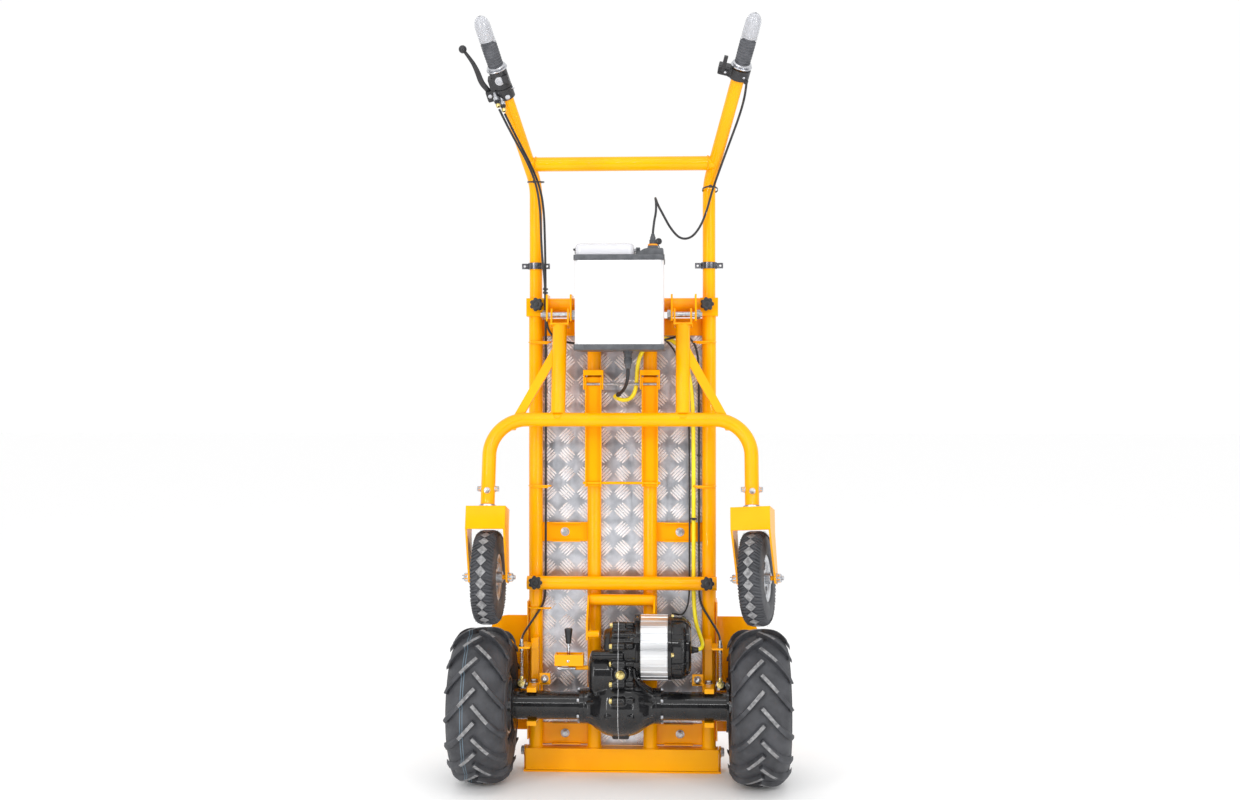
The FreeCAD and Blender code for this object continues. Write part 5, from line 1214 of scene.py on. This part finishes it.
KNOB_LOBES = 7
KNOB_POINTS = 14 * KNOB_LOBES
KNOB_X = 187
SADDLE_X = 166
RAIL_X = 192


def make_knob(name, x, level, face_y):
    """A seven-lobed moulded knob on its stud, facing the rear."""
    place = move(x, face_y, level, ALONG_BACK)
    bm = bmesh.new()
    rings = []
    for height, share, depth in ((-15.5, 0.60, 0.2), (-14.5, 0.70, 0.6), (-12, 0.86, 1), (-6, 0.96, 1),
                                 (-1.6, 0.95, 1), (0, 0.86, 0.9), (0.8, 0.70, 0.5), (0.6, 0.46, 0.0),
                                 (0.2, 0.40, 0.0), (0.9, 0.36, 0.0), (1.2, 0.2, 0.0)):
        ring = []
        for k in range(KNOB_POINTS):
            angle = TAU * k / KNOB_POINTS
            wave = 0.5 - 0.5 * math.cos(KNOB_LOBES * angle)
            ring.append(place @ (polar(16 * share * (1 - 0.2 * depth * wave ** 1.6), angle, height) * MM))
        rings.append(ring)
    skin(bm, rings)
    disc(bm, place, 8.4, -20, -14, 1)
    disc(bm, place, 3.95, face_y + 33.4, -15, 0.4, 24)
    piece(name + "_moulding", bm, name, "black_plastic", stands_for=[name], crease=45)


def make_freewheel_lever():
    """The lever's steel shaft and its tapered black handle, the pivot pin and the tie rod's collar."""
    post = move(-112, -110, 0)
    bm = bmesh.new()
    turning(bm, post, [(262, 2.8), (263, 3.5), (304, 3.5), (305, 2.8)], 24)
    turning(bm, move(-112, -126, 262, ALONG_FRONT), [(0, 2.2), (0.6, 3), (31.4, 3), (32, 2.2)], 24)
    piece("freewheel_shaft", bm, "freewheel_lever", "machined_steel", stands_for=["freewheel_lever"])
    bm = bmesh.new()
    turning(bm, post, [(298, 3.7), (298, 5.2), (299, 5.8), (304, 6), (315, 7.4), (325, 8.6), (328.5, 8.8),
                       (330, 7.8), (330.4, 4)], 40)
    piece("freewheel_handle", bm, "freewheel_lever", "black_plastic")
    bm = bmesh.new()
    rod_x(bm, -136, -96, -120, 246, 3.2)
    disc(bm, move(0, -120, 246, ALONG_X), 5.4, -134, -126, 1)
    piece("selector_rod", bm, "frame", "galvanised")


def make_bolts():
    """Plated heads, nuts and washers over the plain ones, and the painted tabs of the saddles."""
    bm, tabs, clamps = bmesh.new(), bmesh.new(), bmesh.new()
    for x in (-128, 128):
        for z in (528.5, 79.5):
            bolt(bm, at(x, -7, z), (0, -1, 0), 13.4, 7.4)
    for side in (-1, 1):
        saddle = side * SADDLE_X
        bolt(bm, at(side * 218.2, -8, 41), (side, 0, 0), 17.4, 7.6)
        bolt(bm, at(side * 190, -73, 206), (0, 0, 1), 13.4, 6.8)
        knob = laid(at(saddle, -84, 216), (0, -1, 0))
        disc(bm, knob, 8.4, 0, 2, 0.4)
        turning(bm, knob, [(1.8, 6), (8, 7.6), (13, 6.6), (16, 3), (16.4, 0.6)], 28)
        rod_x(bm, saddle - 3, saddle + 3, -84, 216, 3)
        box(tabs, (saddle - 12, -84, 203), (saddle + 12, -79, 228), 2)
        box(tabs, (side * 167 - 13, -84, 203), (side * 167 + 13, -56, 208), 1.5)
        leg = LEAN @ move(side * CASTER_X, HINGE_Y, 0)
        for direction, x, y, z in (((0, -1, 0), 0, -15, 616), ((1, 0, 0), 15, 0, 622),
                                   ((-1, 0, 0), -15, 0, 622)):
            place = leg @ laid(at(x, y, z), direction)
            disc(clamps, place, 6.6, -1, 1.2, 0.3)
            hexagon(clamps, place, 10.6, 1, 8)
    piece("frame_bolt_heads", bm, "frame", "galvanised")
    piece("saddle_tabs", tabs, "frame", "yellow_paint")
    piece("caster_clamp_bolts", clamps, "swing_frame", "galvanised")
    for word, side in SIDES:
        nuts = bmesh.new()
        fork = caster_place(side)
        for way in (-1, 1):
            place = fork @ laid(at(side * CASTER_X + way * 42, *CASTER_AXLE), (way, 0, 0))
            disc(nuts, place, 11, 0, 1.8, 0.4)
            hexagon(nuts, place, 17, 1.6, 10)
            disc(nuts, place, 4.8, 9.8, 15, 0.6)
        hollow(nuts, fork @ move(side * CASTER_X, HINGE_Y, 0),
               [(582, 10.2), (582, 18), (583, 18.8), (586.4, 18.8), (587.2, 17), (587.2, 10.2)], 40)
        piece("caster_nuts_" + word, nuts, "caster_fork_" + word, "galvanised")


def make_gearbox_bolts():
    """Yellow-plated heads along the seam and the domed filler plug, with plain flange bolts."""
    bm = bmesh.new()
    for z, y in SEAM_BOLTS:
        place = laid(at(-16, y, z), (-1, 0, 0))
        hexagon(bm, place, 9.6, 0, 5.6)
        disc(bm, place, 5.9, -0.6, 0.8, 0.2)
    hexagon(bm, laid(at(14, -158, 300), (-1, 0, 0)), 8.6, 0, 5)
    turning(bm, laid(at(2, -171, 243), (0, -1, 0)), [(0, 8), (0.4, 9.6), (2, 9.8), (3, 9.2), (3.2, 8.2),
        (7, 7.9), (8.4, 7), (9, 5), (9.1, 1)], 36)
    piece("seam_bolts", bm, "frame", "yellow_zinc", stands_for=["housing_fasteners"])
    bm = bmesh.new()
    for side in (-1, 1):
        for angle in range(30, 390, 60):
            away = polar(34.2, math.radians(angle))
            hexagon(bm, laid(at(side * 87, AXLE_Y + away.x, AXLE_Z + away.y), (side, 0, 0)), 7, -0.2, 5)
    piece("flange_bolts", bm, "frame", "galvanised")


def weld(bm, points, closed=True, thick=1.7, spacing=0.935):
    """A bead along points in metres. Its rings are spaced in millimetres; every third one is thicker."""
    count = len(points)
    spans = [(points[(i + 1) % count] - points[i]).length for i in range(count if closed else count - 1)]
    total = sum(spans)
    steps = max(12, int(total / (spacing * MM)))
    line, walked, i = [], 0.0, 0
    for k in range(steps + (0 if closed else 1)):
        goal = total * k / steps
        while i < len(spans) - 1 and walked + spans[i] < goal:
            walked += spans[i]
            i += 1
        line.append(points[i].lerp(points[(i + 1) % count], (goal - walked) / spans[i]))
    rings = []
    for k, point in enumerate(line):
        following = line[(k + 1) % len(line)] if closed or k < len(line) - 1 else point
        before = line[k - 1] if closed or k else point
        ahead = (following - before).normalized()
        side = ahead.orthogonal().normalized()
        up = ahead.cross(side)
        r = thick * (1 + (0.22 if k % 3 == 0 else -0.08)) * MM
        start = math.atan2(up.z, side.z) if abs(ahead.z) < 0.95 else 0.0
        rings.append([point + (side * math.cos(start + TAU * j / 7) + up * math.sin(start + TAU * j / 7)) * r
                      for j in range(7)])
    skin(bm, rings, closed)


def saddle_path(centre, radius, crossing):
    """The line where a vertical tube of one radius meets a tube that runs along X."""
    made = []
    for i in range(48):
        x, y, _ = polar(radius, TAU * i / 48)
        made.append(at(*centre) + at(x, y, math.sqrt(max(0.0, crossing ** 2 - y ** 2))))
    return made


def make_welds():
    """Beads at the joints of the tubes that the rear view shows."""
    swing, handle, fixed = bmesh.new(), bmesh.new(), bmesh.new()
    for side in (-1, 1):
        post = side * 134
        weld(swing, [LEAN @ point for point in saddle_path((post, -66, 773), 15.6, 14.6)])
        weld(swing, [LEAN @ at(post + u * 15, -66 + v * 15, 981.6) for u, v in
                     ((1, 0), (0.7, 0.7), (0, 1), (-0.7, 0.7), (-1, 0), (-0.7, -0.7), (0, -1), (0.7, -0.7))])
        for x in (post - 19.6, post + 19.6):
            weld(swing, [LEAN @ at(x, y, 983.4) for y in (-77, -55)], closed=False)
        weld(handle, circle(laid(at(side * 188.6, -52.2, 1340), (side, 0, 0)), 15.4, 0, 48))
        for x in (side * RAIL_X, side * 62):
            weld(fixed, circle(move(x, -18.5, 52.6), 15.6, 0, 48))
        for z in (434.6, 405):
            weld(fixed, [at(side * RAIL_X + x, -34.2, z) for x in (-10, 10)], closed=False)
    piece("swing_frame_welds", swing, "swing_frame", "yellow_paint")
    piece("handle_welds", handle, "handle", "yellow_paint")
    piece("frame_welds", fixed, "frame", "yellow_paint")


def make_hooks():
    """Bent wire hooks on the rails that hold the cables."""
    bm = bmesh.new()
    for side, z in ((-1, 950), (-1, 632), (-1, 362), (1, 950), (1, 632)):
        bends = ((206, -26), (204, -38), (190, -39), (166, -37), (160, -36), (158, -31))
        hose(bm, smooth_line([(side * x, y, z) for x, y in bends], 6), 0.0022, 10)
    piece("cable_hooks", bm, "frame", "yellow_paint")


for word, side in SIDES:
    make_knob("upper_knob_" + word, side * KNOB_X, 1032, -58)
    make_knob("lower_knob_" + word, side * KNOB_X, 424, -84.6)
make_freewheel_lever()
make_bolts()
make_gearbox_bolts()
make_welds()
make_hooks()
